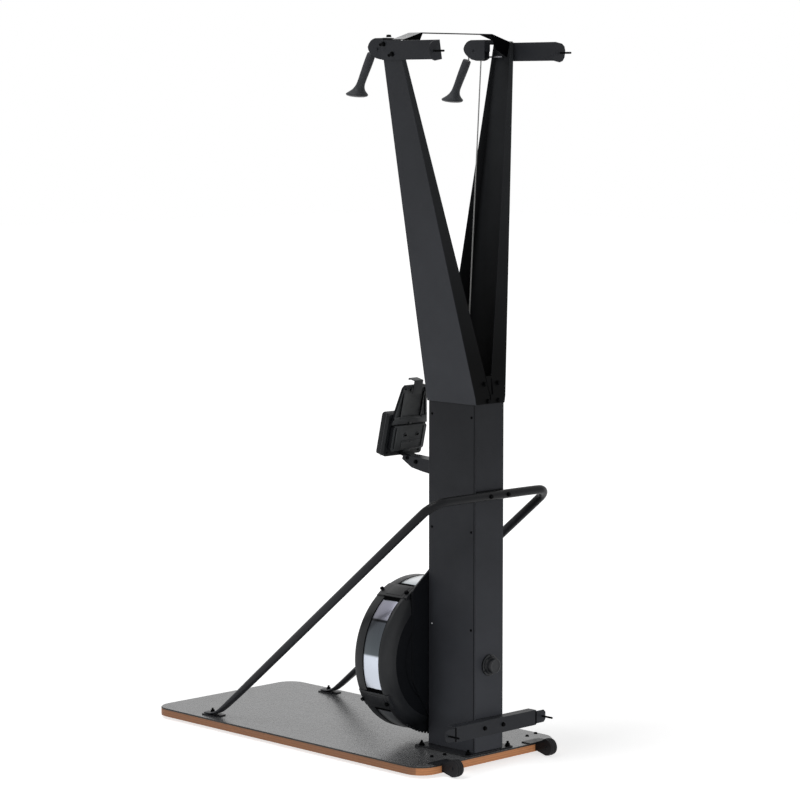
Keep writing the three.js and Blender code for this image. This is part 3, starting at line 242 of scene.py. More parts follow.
def vary_gloss(parts, links, shader, amount, low, high):
    links.new(remap(parts, links, amount, *NOISE_SPREAD, low, high), shader.inputs["Roughness"])


def relief(parts, links, shader, height, depth, strength=1.0):
    bump = parts.new("ShaderNodeBump")
    bump.inputs["Strength"].default_value = strength
    bump.inputs["Distance"].default_value = depth
    links.new(height, bump.inputs["Height"])
    links.new(bump.outputs["Normal"], shader.inputs["Normal"])


def powder_coat(name, color, low=0.42, high=0.52, shine=0.2):
    """Baked paint with a fine orange-peel skin."""
    paint, parts, links, shader, where = finish_base(name, color, 0.46)
    shader.inputs["Specular IOR Level"].default_value = shine
    mottle(parts, links, shader, noise(parts, links, where, 9, 4), color, 0.10)
    vary_gloss(parts, links, shader, noise(parts, links, where, 35, 4), low, high)
    relief(parts, links, shader, noise(parts, links, where, 1100, 2), 0.00012, 0.6)
    return paint


def light_and_shade_by_height(paint, low_z, high_z, low_share, high_share):
    """Painted light and shade: the base colour grows lighter or darker with its height on the machine."""
    parts, links = node_set(paint)
    shader = parts["Principled BSDF"]
    tone = shader.inputs["Base Color"].links[0].from_socket
    place = parts.new("ShaderNodeTexCoord")
    height = height_of(parts, links, place.outputs["Object"])
    share = remap(parts, links, height, low_z, high_z, low_share, high_share)
    shaded_tone = parts.new("ShaderNodeVectorMath")
    shaded_tone.operation = "SCALE"
    links.new(tone, shaded_tone.inputs[0])
    links.new(share, shaded_tone.inputs["Scale"])
    links.new(shaded_tone.outputs["Vector"], shader.inputs["Base Color"])
    return paint


def moulded_plastic(name, color, grain=1500, low=0.42, high=0.56, depth=0.00016, shine=0.2):
    """Moulded plastic with a spark-eroded grain."""
    paint, parts, links, shader, where = finish_base(name, color, 0.5)
    shader.inputs["Specular IOR Level"].default_value = shine
    mottle(parts, links, shader, noise(parts, links, where, 14, 3), color, 0.08)
    vary_gloss(parts, links, shader, noise(parts, links, where, 60, 3), low, high)
    relief(parts, links, shader, noise(parts, links, where, grain, 3), depth, 0.7)
    return paint


def moulded_rubber(name, color, low=0.68, high=0.84):
    paint, parts, links, shader, where = finish_base(name, color, 0.76)
    shader.inputs["Specular IOR Level"].default_value = 0.2
    mottle(parts, links, shader, noise(parts, links, where, 40, 4), color, 0.16)
    vary_gloss(parts, links, shader, noise(parts, links, where, 90, 3), low, high)
    relief(parts, links, shader, noise(parts, links, where, 900, 4), 0.0003, 0.8)
    return paint


# Heights that the band's painted reflection and the drum plastic's painted shade run between
DRUM_HEIGHTS = (0.05, 0.55)

# Painted reflection: the band's tone at each share of those heights, light and dark bands standing in for
# what the polished band mirrors
BAND_REFLECTION_TONES = (
    (0.20, (0.36, 0.38, 0.40)), (0.26, (0.62, 0.66, 0.74)), (0.536, (0.52, 0.56, 0.63)),
    (0.548, (0.085, 0.098, 0.108)), (0.737, (0.062, 0.068, 0.078)), (0.742, (0.014, 0.015, 0.017)),
    (0.750, (0.014, 0.015, 0.017)), (0.757, (0.21, 0.21, 0.25)), (0.84, (0.24, 0.24, 0.29)),
    (0.90, (0.26, 0.30, 0.32)), (0.935, (0.34, 0.38, 0.40)), (0.955, (0.70, 0.72, 0.74)))


def polished_steel(name):
    """Bright rolled strip with faint lines round the drum, its colour a painted reflection: light and dark
    bands by height.
    """
    color = (0.80, 0.82, 0.86)
    paint, parts, links, shader, where = finish_base(name, color, 0.1, 1.0)
    stretch = parts.new("ShaderNodeMapping")
    stretch.inputs["Scale"].default_value = (1, 60, 1)
    links.new(where, stretch.inputs["Vector"])
    lines = noise(parts, links, stretch.outputs["Vector"], 14, 5)
    vary_gloss(parts, links, shader, lines, 0.27, 0.33)
    # Painted reflection: a colour ramp by height stands in for the surroundings mirrored in the band
    height = remap(parts, links, height_of(parts, links, where), *DRUM_HEIGHTS)
    painted_reflection = parts.new("ShaderNodeValToRGB")
    stops = painted_reflection.color_ramp.elements
    stops[0].position, stops[0].color = 0.0, (0.30, 0.31, 0.32, 1)
    stops[1].position, stops[1].color = 1.0, (0.72, 0.73, 0.76, 1)
    for share, tone in BAND_REFLECTION_TONES:
        stop = stops.new(share)
        stop.color = (*tone, 1)
    links.new(height, painted_reflection.inputs["Fac"])
    links.new(painted_reflection.outputs["Color"], shader.inputs["Base Color"])
    relief(parts, links, shader, lines, 0.00003, 0.25)
    return paint


def turned_steel(name, color=(0.34, 0.35, 0.36)):
    paint, parts, links, shader, where = finish_base(name, color, 0.34, 1.0)
    mottle(parts, links, shader, noise(parts, links, where, 30, 4), color, 0.12)
    vary_gloss(parts, links, shader, noise(parts, links, where, 220, 5), 0.26, 0.44)
    relief(parts, links, shader, noise(parts, links, where, 700, 3), 0.00006, 0.4)
    return paint


TOP_PLY = (0.0300, 0.0312)


def plywood_edge(name, color=(0.45, 0.195, 0.085)):
    """Birch plies on the board's edge, stained brown under a black top ply."""
    paint, parts, links, shader, where = finish_base(name, color, 0.6)
    plies = parts.new("ShaderNodeTexWave")
    plies.wave_type = "BANDS"
    plies.bands_direction = "Z"
    plies.wave_profile = "SIN"
    plies.inputs["Scale"].default_value = 46
    plies.inputs["Distortion"].default_value = 1.2
    plies.inputs["Detail"].default_value = 2
    plies.inputs["Detail Scale"].default_value = 3
    links.new(where, plies.inputs["Vector"])
    grain_place = parts.new("ShaderNodeMapping")
    grain_place.inputs["Scale"].default_value = (1, 1, 16)
    links.new(where, grain_place.inputs["Vector"])
    grain = noise(parts, links, grain_place.outputs["Vector"], 45, 6)
    blend = parts.new("ShaderNodeMix")
    blend.inputs[0].default_value = 0.75
    links.new(plies.outputs["Fac"], blend.inputs[2])
    links.new(grain, blend.inputs[3])
    mottle(parts, links, shader, blend.outputs[0], color, 0.20)
    stained = shader.inputs["Base Color"].links[0].from_socket
    top = remap(parts, links, height_of(parts, links, where), *TOP_PLY)
    capped = parts.new("ShaderNodeMix")
    capped.data_type = "RGBA"
    capped.inputs["B"].default_value = (0.012, 0.011, 0.010, 1)
    links.new(top, capped.inputs["Factor"])
    links.new(stained, capped.inputs["A"])
    links.new(capped.outputs["Result"], shader.inputs["Base Color"])
    vary_gloss(parts, links, shader, grain, 0.5, 0.72)
    relief(parts, links, shader, grain, 0.0003, 0.5)
    return paint


def filmed_deck(name):
    """Dark film with a fine pressed net, as on filmed plywood."""
    color = (0.092, 0.093, 0.096)
    paint, parts, links, shader, where = finish_base(name, color, 0.35)
    net = parts.new("ShaderNodeTexVoronoi")
    net.feature = "DISTANCE_TO_EDGE"
    net.inputs["Scale"].default_value = 260
    links.new(where, net.inputs["Vector"])
    mottle(parts, links, shader, noise(parts, links, where, 24, 5), color, 0.18)
    vary_gloss(parts, links, shader, noise(parts, links, where, 150, 4), 0.20, 0.32)
    relief(parts, links, shader, net.outputs["Distance"], 0.0003, 0.15)
    return paint


def braided_cord(name):
    color = (0.36, 0.36, 0.355)
    paint, parts, links, shader, where = finish_base(name, color, 0.75)
    strands = []
    for lean in (0.9, -0.9):
        turn = parts.new("ShaderNodeMapping")
        turn.inputs["Rotation"].default_value = (lean, lean, 0)
        links.new(where, turn.inputs["Vector"])
        wave = parts.new("ShaderNodeTexWave")
        wave.inputs["Scale"].default_value = 420
        links.new(turn.outputs["Vector"], wave.inputs["Vector"])
        strands.append(wave.outputs["Fac"])
    weave = calculate(parts, links, "MULTIPLY", *strands)
    mottle(parts, links, shader, weave, color, 0.3)
    relief(parts, links, shader, weave, 0.0006, 0.8)
    return paint


def dark_glass(name):
    color = (0.02, 0.026, 0.024)
    paint, parts, links, shader, where = finish_base(name, color, 0.08)
    vary_gloss(parts, links, shader, noise(parts, links, where, 18, 3), 0.05, 0.12)
    mottle(parts, links, shader, noise(parts, links, where, 60, 2), color, 0.1)
    shader.inputs["Coat Weight"].default_value = 0.6
    return paint


FINISHES = {
    "board_wood": plywood_edge("board_edge_plies"),
    "deck_surface": filmed_deck("deck_film_net"),
    "foot_rubber": moulded_rubber("pad_rubber", (0.02, 0.02, 0.021)),
    "frame_paint": powder_coat("frame_powder_coat", (0.0185, 0.0198, 0.0232), 0.38, 0.46, 0.12),
    "black_paint": powder_coat("black_powder_coat", (0.0155, 0.016, 0.018), 0.30, 0.40, 0.12),
    # Drum plastic with painted shade: darker towards the top of the drum
    "drum_plastic": light_and_shade_by_height(
        moulded_plastic("drum_moulding_painted_shade", (0.0115, 0.0125, 0.0145), 1500, 0.30, 0.40, 0.00012, 0.25),
        *DRUM_HEIGHTS, 1.2, 0.55),
    # Drum band: painted reflection by height in its colour
    "polished_band": polished_steel("drum_band_steel_painted_reflection"),
    "rotor_steel": turned_steel("rotor_turned_steel"),
    "bolt_black": powder_coat("black_oxide_bolts", (0.0014, 0.0015, 0.0018), 0.48, 0.58, 0.03),
    "pulley_plastic": moulded_plastic("pulley_moulding", (0.02, 0.021, 0.022)),
    "cord_braid": braided_cord("cord_braid"),
    "grip_rubber": moulded_rubber("grip_moulding", (0.032, 0.034, 0.038), 0.5, 0.62),
    "wheel_rubber": moulded_rubber("wheel_tread", (0.017, 0.017, 0.018)),
    "monitor_plastic": moulded_plastic("monitor_moulding", (0.0085, 0.0095, 0.0105), shine=0.12),
    "button_rubber": moulded_rubber("button_moulding", (0.07, 0.07, 0.075)),
    "screen_glass": dark_glass("screen_glass"),
}
SPECIAL = {
    # Arm paint with painted light: lighter base than the frame paint, lighter still towards the bottom
    "arm": light_and_shade_by_height(powder_coat("arm_powder_coat", (0.0215, 0.0230, 0.0268), 0.38, 0.46, 0.12),
                          1.15, 2.15, 1.5, 0.85),
    # Painted shade on the arms' back and inner faces and the gusset: darker paint, darkest towards the
    # bottom
    "flange": light_and_shade_by_height(powder_coat("arm_flange_coat", (0.0170, 0.0180, 0.0195), 0.38, 0.46, 0.04),
                             1.20, 2.05, 0.10, 1.5),
    # Column paint with painted light: lighter towards the floor, painted shade towards the top
    "column": light_and_shade_by_height(powder_coat("column_coat_painted_light", (0.0215, 0.0228, 0.0265), 0.38, 0.46, 0.10),
                             0.15, 1.05, 1.6, 0.6),
    # Brace paint with painted shade: the crossbar higher up darker than the leg
    "brace": light_and_shade_by_height(powder_coat("brace_coat_painted_shade", (0.024, 0.025, 0.028), 0.30, 0.40, 0.10),
                            0.45, 0.80, 1.3, 0.35),
    # Painted shade: darker plies on the board's +X edge than on its other edges
    "board_side": plywood_edge("board_side_plies_painted_shade", (0.26, 0.118, 0.057)),
    "rod": turned_steel("plated_housing_rod", (0.16, 0.16, 0.17)),
    "back_shell": moulded_plastic("monitor_back_moulding", (0.042, 0.045, 0.047), shine=0.2),
    # Dark matte plastic with painted shade: the drum's back disc, the mount's lower faces and the
    # monitor's flanks
    "disc": moulded_plastic("drum_back_matte_and_painted_shade", (0.0035, 0.0040, 0.0050), 1500, 0.55, 0.70, 0.00016, 0.08),
    "gap": powder_coat("seam_shadow_paint", (0.0009, 0.0009, 0.0011), 0.6, 0.7, 0.01),
    # Bridge paint with a painted highlight: lighter than the frame paint it shares; its higher gloss is
    # the shader's
    "ramp": powder_coat("bridge_coat_painted_highlight", (0.035, 0.036, 0.040), 0.16, 0.24, 0.6),
    "zinc": turned_steel("zinc_plated_rod", (0.50, 0.51, 0.52)),
    "pale": moulded_rubber("grip_end_pad", (0.20, 0.20, 0.205), 0.5, 0.62),
}


def coat(piece, slot_name, look=None):
    piece.data.materials.clear()
    piece.data.materials.append(SPECIAL[look] if look else FINISHES[slot_name])


def coat_faces(piece, finish, test):
    """Second finish on the faces that the test picks."""
    piece.data.materials.append(finish)
    last = len(piece.data.materials) - 1
    for face in piece.data.polygons:
        if test(face.center, face.normal):
            face.material_index = last


# Hand work

def clear():
    if bpy.context.mode != "OBJECT":
        bpy.ops.object.mode_set(mode="OBJECT")
    bpy.ops.object.select_all(action="DESELECT")


def only(piece):
    clear()
    piece.select_set(True)
    bpy.context.view_layer.objects.active = piece


def remove(piece):
    only(piece)
    bpy.ops.object.delete()


def duplicate_of(source, name):
    only(source)
    bpy.ops.object.duplicate()
    return just_made(name)


def open_mesh(piece, choice="SELECT"):
    only(piece)
    bpy.ops.object.mode_set(mode="EDIT")
    bpy.ops.mesh.select_all(action=choice)


def close_mesh():
    bpy.ops.object.mode_set(mode="OBJECT")


def pick_faces(piece, test):
    bpy.ops.mesh.select_mode(type="FACE")
    bpy.ops.mesh.select_all(action="DESELECT")
    mesh = bmesh.from_edit_mesh(piece.data)
    for face in mesh.faces:
        if test(face.calc_center_median(), face.normal):
            face.select_set(True)
    bmesh.update_edit_mesh(piece.data)


def settle(piece):
    only(piece)
    bpy.ops.object.transform_apply(location=True, rotation=True, scale=True)


def seat(piece, place, turn=(0, 0, 0)):
    """Turns a piece drawn about the origin and moves it to its place."""
    piece.rotation_euler = turn
    piece.location = place
    settle(piece)
    return piece


def smooth(piece, angle=35, level=False):
    """Smooth shading with sharp edges kept; level keeps large flats flat."""
    only(piece)
    bpy.ops.object.shade_smooth_by_angle(angle=math.radians(angle))
    if level:
        apply_modifier(piece, "WEIGHTED_NORMAL", keep_sharp=True, weight=80)


def apply_modifier(piece, kind, **settings):
    only(piece)
    bpy.ops.object.modifier_add(type=kind)
    change = piece.modifiers[-1]
    for key, value in settings.items():
        setattr(change, key, value)
    bpy.ops.object.modifier_apply(modifier=change.name)


def soften(piece, width, steps=2, angle=30):
    apply_modifier(piece, "BEVEL", width=width, segments=steps, limit_method="ANGLE",
                   angle_limit=math.radians(angle), use_clamp_overlap=True, harden_normals=False)


def hollow(piece, tool):
    """Takes the tool's space out of the piece and removes the tool."""
    apply_modifier(piece, "BOOLEAN", operation="DIFFERENCE", object=tool, solver="EXACT")
    remove(tool)


def unite(pieces, name):
    only(pieces[0])
    for piece in pieces:
        piece.select_set(True)
    bpy.context.view_layer.objects.active = pieces[0]
    bpy.ops.object.join()
    pieces[0].name = name
    return pieces[0]


def place_on(piece, body, slot_name, *replaced, look=None):
    coat(piece, slot_name, look)
    if replaced:
        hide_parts(*replaced)
    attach(piece, body)


def sheet_copy(node_name, new_name, edge, steps=2):
    """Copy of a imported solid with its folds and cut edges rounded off."""
    piece = duplicate_of(nodes[node_name], new_name)
    open_mesh(piece)
    bpy.ops.mesh.remove_doubles(threshold=0.00001)
    bpy.ops.mesh.dissolve_limited(angle_limit=math.radians(0.5))
    soften(piece, edge, steps, 28)
    return piece


def block(name, low, high):
    clear()
    middle = [(a + b) / 2 for a, b in zip(low, high)]
    bpy.ops.mesh.primitive_cube_add(size=1, location=middle)
    piece = just_made(name)
    piece.scale = [b - a for a, b in zip(low, high)]
    settle(piece)
    return piece


# Facing +Z, +X, -X, +Y, -Y for a form drawn along +Z
UP = (0, 0, 0)
TO_RIGHT = (0, math.pi / 2, 0)
TO_LEFT = (0, -math.pi / 2, 0)
TO_BACK = (-math.pi / 2, 0, 0)
TO_FRONT = (math.pi / 2, 0, 0)
AXIS_TURN = {"x": TO_RIGHT, "y": TO_BACK, "z": UP}
ORIGIN = (0, 0, 0)
LEAST_RADIUS = 1e-5


def turned_form(name, centre, axis, profile, sides=96):
    """Ring of the first radius, drawn out step by step; closed if the last pair repeats the first."""
    clear()
    height = profile[0][1]
    radius = max(profile[0][0], LEAST_RADIUS)
    closed = profile[0] == profile[-1]
    bpy.ops.mesh.primitive_circle_add(vertices=sides, radius=radius, location=(0, 0, height))
    piece = just_made(name)
    settle(piece)
    open_mesh(piece)
    bpy.ops.mesh.select_mode(type="EDGE")
    bpy.ops.mesh.select_all(action="SELECT")
    for next_radius, next_height in profile[1:]:
        next_radius = max(next_radius, LEAST_RADIUS)
        step = (0, 0, next_height - height)
        bpy.ops.mesh.extrude_region_move(TRANSFORM_OT_translate={"value": step})
        scale = next_radius / radius
        bpy.ops.transform.resize(value=(scale, scale, 1), center_override=(0, 0, next_height))
        radius, height = next_radius, next_height
    bpy.ops.mesh.select_all(action="SELECT")
    bpy.ops.mesh.remove_doubles(threshold=0.00002)
    if not closed:
        bpy.ops.mesh.select_all(action="DESELECT")
        bpy.ops.mesh.select_non_manifold(extend=False)
        bpy.ops.mesh.fill_holes(sides=0)
    bpy.ops.mesh.select_all(action="SELECT")
    bpy.ops.mesh.normals_make_consistent(inside=False)
    close_mesh()
    return seat(piece, centre, AXIS_TURN[axis])


def copy_at(master, name, place, turn, scale=1.0):
    piece = duplicate_of(master, name)
    piece.scale = (scale, scale, scale)
    return seat(piece, place, turn)


# Fasteners, each drawn once along +Z with its seat at zero

def hex_prism(name, across, low, high, edge=0.0004):
    clear()
    bpy.ops.mesh.primitive_cylinder_add(
        vertices=6, radius=across / math.sqrt(3), depth=high - low, location=(0, 0, (low + high) / 2))
    piece = just_made(name)
    settle(piece)
    open_mesh(piece, "DESELECT")
    pick_faces(piece, lambda c, n: abs(n.z) > 0.9)
    bpy.ops.mesh.inset(thickness=across * 0.06, depth=0)
    bpy.ops.mesh.select_all(action="DESELECT")
    close_mesh()
    soften(piece, edge, 2, 40)
    return piece


def draw_washer(name, hole, rim):
    return turned_form(name, ORIGIN, "z", [
        (hole, 0), (rim - 0.0004, 0), (rim, 0.0004), (rim, 0.0012), (rim - 0.0004, 0.0016),
        (hole, 0.0016)], 32)


def draw_hex_bolt():
    washer = draw_washer("bolt_washer", 0.0042, 0.0088)
    head = hex_prism("bolt_head", 0.0125, 0.0016, 0.0072)
    end = turned_form("bolt_end", ORIGIN, "z", in_mm([(0, 7.2), (2.2, 7.3), (3, 7.6), (0, 7.8)]), 24)
    return unite([head, washer, end], "hex_bolt_form")


def draw_stud_nut():
    nut = hex_prism("stud_nut", 0.013, 0.0016, 0.0082)
    washer = draw_washer("stud_washer", 0.0044, 0.0096)
    thread = [(0, 6)]
    for turn in range(7):
        z = 7.8 + 0.9 * turn
        thread += [(3.4, z), (4.0, z + 0.45)]
    thread += [(3.4, 14.3), (2.8, 14.8), (0, 14.8)]
    rod = turned_form("stud_thread", ORIGIN, "z", in_mm(thread), 24)
    return unite([nut, washer, rod], "stud_nut_form")


def draw_socket_screw():
    head = turned_form("screw_head", ORIGIN, "z", in_mm([
        (0, 0), (5.0, 0), (5.2, 0.3), (5.0, 1.4), (4.3, 2.3), (3.2, 2.9), (0, 3.1)]), 32)
    socket = hex_prism("screw_socket", 0.0030, 0.0014, 0.0050, 0.0001)
    hollow(head, socket)
    head.name = "socket_screw_form"
    return head


def draw_pan_screw():
    head = turned_form("pan_head", ORIGIN, "z", in_mm([
        (0, 0), (3.4, 0), (3.5, 0.6), (3.1, 1.4), (2.0, 1.9), (0, 2.0)]), 28)
    for turn in (0, math.pi / 2):
        slit = block("pan_slit", (-0.0021, -0.00035, 0.0010), (0.0021, 0.00035, 0.0030))
        hollow(head, seat(slit, ORIGIN, (0, 0, turn)))
    head.name = "pan_screw_form"
    return head


FORMS = {"hex": draw_hex_bolt(), "stud": draw_stud_nut(), "socket": draw_socket_screw(),
         "pan": draw_pan_screw()}
for form in FORMS.values():
    smooth(form, 32)


def fasten(kind, name, place, turn, scale=1.0, look=None):
    place_on(copy_at(FORMS[kind], name, place, turn, scale), FRAME, "bolt_black", look=look)


# Folded sheet pieces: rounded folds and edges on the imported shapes

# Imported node, name of the piece, rounding of its edges in mm, slot, finish of its own
SHEET_PIECES = [
    ("base_board", "board_core", 1.2, "board_wood", None),
    ("deck_film", "deck_sheet", 0.4, "deck_surface", None),
    ("base_plate", "column_foot", 0.8, "black_paint", None),
    ("column_body", "column_shell", 1.2, "frame_paint", "column"),
    ("column_back_cover", "column_rear_cover", 1.2, "frame_paint", "column"),
    ("column_cap", "column_top_cap", 0.6, "black_paint", None),
    ("arm_SIDE", "spread_arm_SIDE", 0.8, "frame_paint", "arm"),
    ("top_bridge", "arm_bridge", 0.6, "frame_paint", "ramp"),
    ("standoff_SIDE", "standoff_strip_SIDE", 0.8, "frame_paint", None),
    ("wall_bracket", "wall_channel", 1.0, "frame_paint", None),
    ("pulley_housing_SIDE", "pulley_cheeks_SIDE", 0.6, "frame_paint", None),
    ("monitor_arm", "monitor_bracket", 0.8, "frame_paint", None),
    ("foot_plate_SIDE", "leg_foot_SIDE", 0.6, "black_paint", None),
    ("wheel_fork_SIDE", "wheel_cheeks_SIDE", 0.6, "black_paint", None),
    ("inlet_grille", "inlet_plate", 0.6, "drum_plastic", None),
]
HOUSING_CUT_X = (0.2135, 0.2500)


def add_sheet(node_name, new_name, edge, slot_name, look, sign=0, body=FRAME):
    piece = sheet_copy(node_name, new_name, edge * MM)
    if node_name.startswith("pulley_housing"):
        x0, x1 = span_on(sign, *HOUSING_CUT_X)
        hollow(piece, block("flange_cut", (x0, back(-214.5), 2.105), (x1, back(-206), 2.136)))
    smooth(piece, 32, True)
    place_on(piece, body, slot_name, node_name, look=look)
    # Painted shade on the board's +X edge
    if node_name == "base_board":
        coat_faces(piece, SPECIAL["board_side"], lambda c, n: n.x > 0.8)
    # Painted shade on the bridge's underside, in the seam-shadow paint
    if node_name == "top_bridge":
        coat_faces(piece, SPECIAL["gap"], lambda c, n: n.z < 0.3)
    # Painted shade on the arms' back and inward faces
    if node_name.startswith("arm_"):
        coat_faces(piece, SPECIAL["flange"], lambda c, n: n.y > 0.9 or n.x * -sign > 0.9)


for node_name, new_name, edge, slot_name, look in SHEET_PIECES:
    sides = SIDES if "SIDE" in node_name else [("", 0)]
    for side, sign in sides:
        names = (node_name.replace("SIDE", side), new_name.replace("SIDE", side))
        add_sheet(*names, edge, slot_name, look, sign)
add_sheet("cradle_clip", "cradle_slider", 0.7, "monitor_plastic", "back_shell", body="clip_body")


# Tube and grips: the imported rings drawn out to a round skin

def round_copy(node_name, new_name, grow):
    piece = duplicate_of(nodes[node_name], new_name)
    open_mesh(piece)
    bpy.ops.mesh.remove_doubles(threshold=0.00001)
    bpy.ops.mesh.tris_convert_to_quads(
        face_threshold=math.radians(60), shape_threshold=math.radians(70))
    close_mesh()
    apply_modifier(piece, "SUBSURF", levels=2, render_levels=2)
    open_mesh(piece)
    bpy.ops.transform.shrink_fatten(value=grow)
    close_mesh()
    smooth(piece, 50)
    return piece


def grip_end(node):
    """Centre, direction and radius of the flat end under a grip."""
    down = [face for face in node.data.polygons if face.normal.z < -0.5]

    def in_line(face):
        return [other for other in down if other.normal.dot(face.normal) > 0.9999]

    widest = max(down, key=lambda face: sum(other.area for other in in_line(face)))
    corners = sorted({i for face in in_line(widest) for i in face.vertices})
    marks = [node.data.vertices[i].co for i in corners]
    spot = sum(marks[1:], marks[0].copy()) / len(marks)
    return spot, widest.normal.copy(), max((mark - spot).length for mark in marks)


brace = round_copy("brace_tube", "brace_leg_tube", 0.0005)
place_on(brace, FRAME, "black_paint", "brace_tube", look="brace")
for side, sign in SIDES:
    grip = round_copy(f"handle_{side}", f"pull_grip_{side}", 0.0002)
    place_on(grip, f"handle_{side}_body", "grip_rubber", f"handle_{side}")
    spot, facing, reach = grip_end(nodes[f"handle_{side}"])
    pad = turned_form(f"grip_pad_{side}", ORIGIN, "z", [
        (0, -0.0016), (reach - 0.0030, -0.0016), (reach - 0.0012, -0.0010), (reach - 0.0008, 0.0004),
        (reach - 0.0024, 0.0022), (reach * 0.70, 0.0044), (reach * 0.35, 0.0056), (0, 0.0060)], 48)
    seat(pad, spot, (0, math.acos(facing[2]), math.atan2(facing[1], facing[0])))
    smooth(pad, 50)
    place_on(pad, f"handle_{side}_body", "grip_rubber", look="pale")


# Fan drum

MOUNT_FOOT = 0.165
DRUM = (0, 0, DRUM_AXIS_Z)


def drum_ring(name, profile, sides=144):
    """Turned about the drum's axis from pairs in mm: radius, place behind the column's back."""
    return turned_form(name, DRUM, "y", [(r * MM, back(y)) for r, y in profile], sides)


def drum_arc(name, inner, outer, y_low, y_high, middle_deg, arc_deg, steps=10):
    """Curved plate on the drum in mm and degrees: a strip of the wall spun about the axis."""
    clear()
    bpy.ops.mesh.primitive_plane_add(size=1, location=ORIGIN)
    piece = just_made(name)
    piece.scale = ((outer - inner) * MM, (y_high - y_low) * MM, 1)
    seat(piece, ((inner + outer) / 2 * MM, back((y_low + y_high) / 2), 0))
    open_mesh(piece)
    bpy.ops.mesh.spin(steps=steps, angle=math.radians(arc_deg), center=ORIGIN, axis=(0, 1, 0))
    bpy.ops.mesh.select_all(action="SELECT")
    bpy.ops.mesh.normals_make_consistent(inside=False)
    close_mesh()
    ends = [v.co for v in piece.data.vertices]
    reach = math.atan2(sum(v.z for v in ends), sum(v.x for v in ends))
    return seat(piece, DRUM, (0, reach - math.radians(middle_deg), 0))


# Drum's back: shoulder with teeth, disc with the mount plate

TOOTH_COUNT = 8
FIRST_TOOTH_DEG = -56
TOOTH_STEP_DEG = 3.3
shoulder = drum_ring("drum_shoulder", [
    (186.2, -209), (206, -212), (222, -215.5), (230, -220), (233, -224), (233, -229.4), (235, -230),
    (236, -229), (236.2, -226), (235.6, -222.5), (234, -219), (231, -216), (226, -213), (220, -210.2),
    (212, -207.6), (203, -205.8), (194, -204.9), (190, -204.4), (188, -204), (186.6, -204),
    (186.2, -204.6), (186.2, -209)])
teeth = [shoulder]
for step in range(TOOTH_COUNT):
    place_deg = FIRST_TOOTH_DEG - TOOTH_STEP_DEG * step
    tooth = drum_arc("rim_tooth", 233, 238.6, -214, -209.5, place_deg, 1.5, 2)
    soften(tooth, 0.0005, 2, 40)
    teeth.append(tooth)
shoulder = unite(teeth, "drum_shoulder")
smooth(shoulder, 36)
place_on(shoulder, FRAME, "drum_plastic")
disc = drum_ring("drum_rear_disc", [
    (11.4, -207.6), (176, -208.4), (186, -209), (186, -205.4), (178, -205.2), (176, -204.6), (150, -204.6),
    (148, -204.0), (146, -204.0), (144, -204.6), (11.4, -204.6), (11.4, -207.6)])
mount = sheet_copy("fan_back_cover", "drum_mount", 0.0008)
open_mesh(mount)
pick_faces(mount, lambda c, n: c.y < back(-205.0))
bpy.ops.mesh.delete(type="FACE")
close_mesh()
smooth(mount, 32, True)
rear = unite([disc, mount], "drum_rear_shell")
# Drum's back: dark matte plastic with painted shade from the column; the mount's upper faces take the
# lighter drum plastic
place_on(rear, FRAME, "drum_plastic", "fan_back_cover", look="disc")
coat_faces(rear, FINISHES["drum_plastic"], lambda c, n: c.z > DRUM_AXIS_Z + MOUNT_FOOT)


# Drum's band, and painted shade along its edges

band = drum_ring("drum_band", [
    (230.6, -299.6), (233.2, -299.6), (233.5, -299), (233.5, -230.8), (233.2, -230.2), (230.6, -230.2),
    (230.6, -299.6)], 192)
smooth(band, 40)
place_on(band, FRAME, "polished_band", "fan_band")
# Dark rims in the seam-shadow paint: painted shade where the band meets the covers
for name, low, high in (("band_edge_shadow_front", -299.6, -297.4), ("band_edge_shadow_back", -232.6, -230.0)):
    edge_shadow = drum_ring(name, [
        (233.4, low), (234.4, low + 0.2), (234.6, low + 0.8), (234.6, high - 0.8), (234.4, high - 0.2),
        (233.4, high), (233.4, low)], 192)
    smooth(edge_shadow, 40)
    place_on(edge_shadow, FRAME, "drum_plastic", look="gap")


# Drum's front cover with ribs and straps

front_ring = drum_ring("drum_front_ring", [
    (112.3, -339.6), (113.4, -340), (118, -340), (119, -339.2), (123, -339.2), (124, -340), (196, -340),
    (198, -339), (202, -339), (204, -340), (220, -340), (226, -339.4), (230.4, -337.2), (233, -334),
    (234, -330), (234, -303), (233.6, -300.6), (232.6, -300.3), (231, -300.3), (231, -334), (222, -336.8),
    (112.3, -336.8), (112.3, -339.6)])
RIB_COUNT = 30
RIB_HALF = 0.0011
rib_parts = []
rib = block("front_rib", (0.140, back(-341.0), DRUM_AXIS_Z - RIB_HALF),
            (0.190, back(-339.0), DRUM_AXIS_Z + RIB_HALF))
soften(rib, 0.0006, 2, 40)
for step in range(RIB_COUNT):
    one = duplicate_of(rib, "front_rib_turned")
    open_mesh(one)
    bpy.ops.transform.rotate(
        value=2 * math.pi * step / RIB_COUNT, orient_axis="Y", center_override=DRUM)
    close_mesh()
    rib_parts.append(one)
remove(rib)

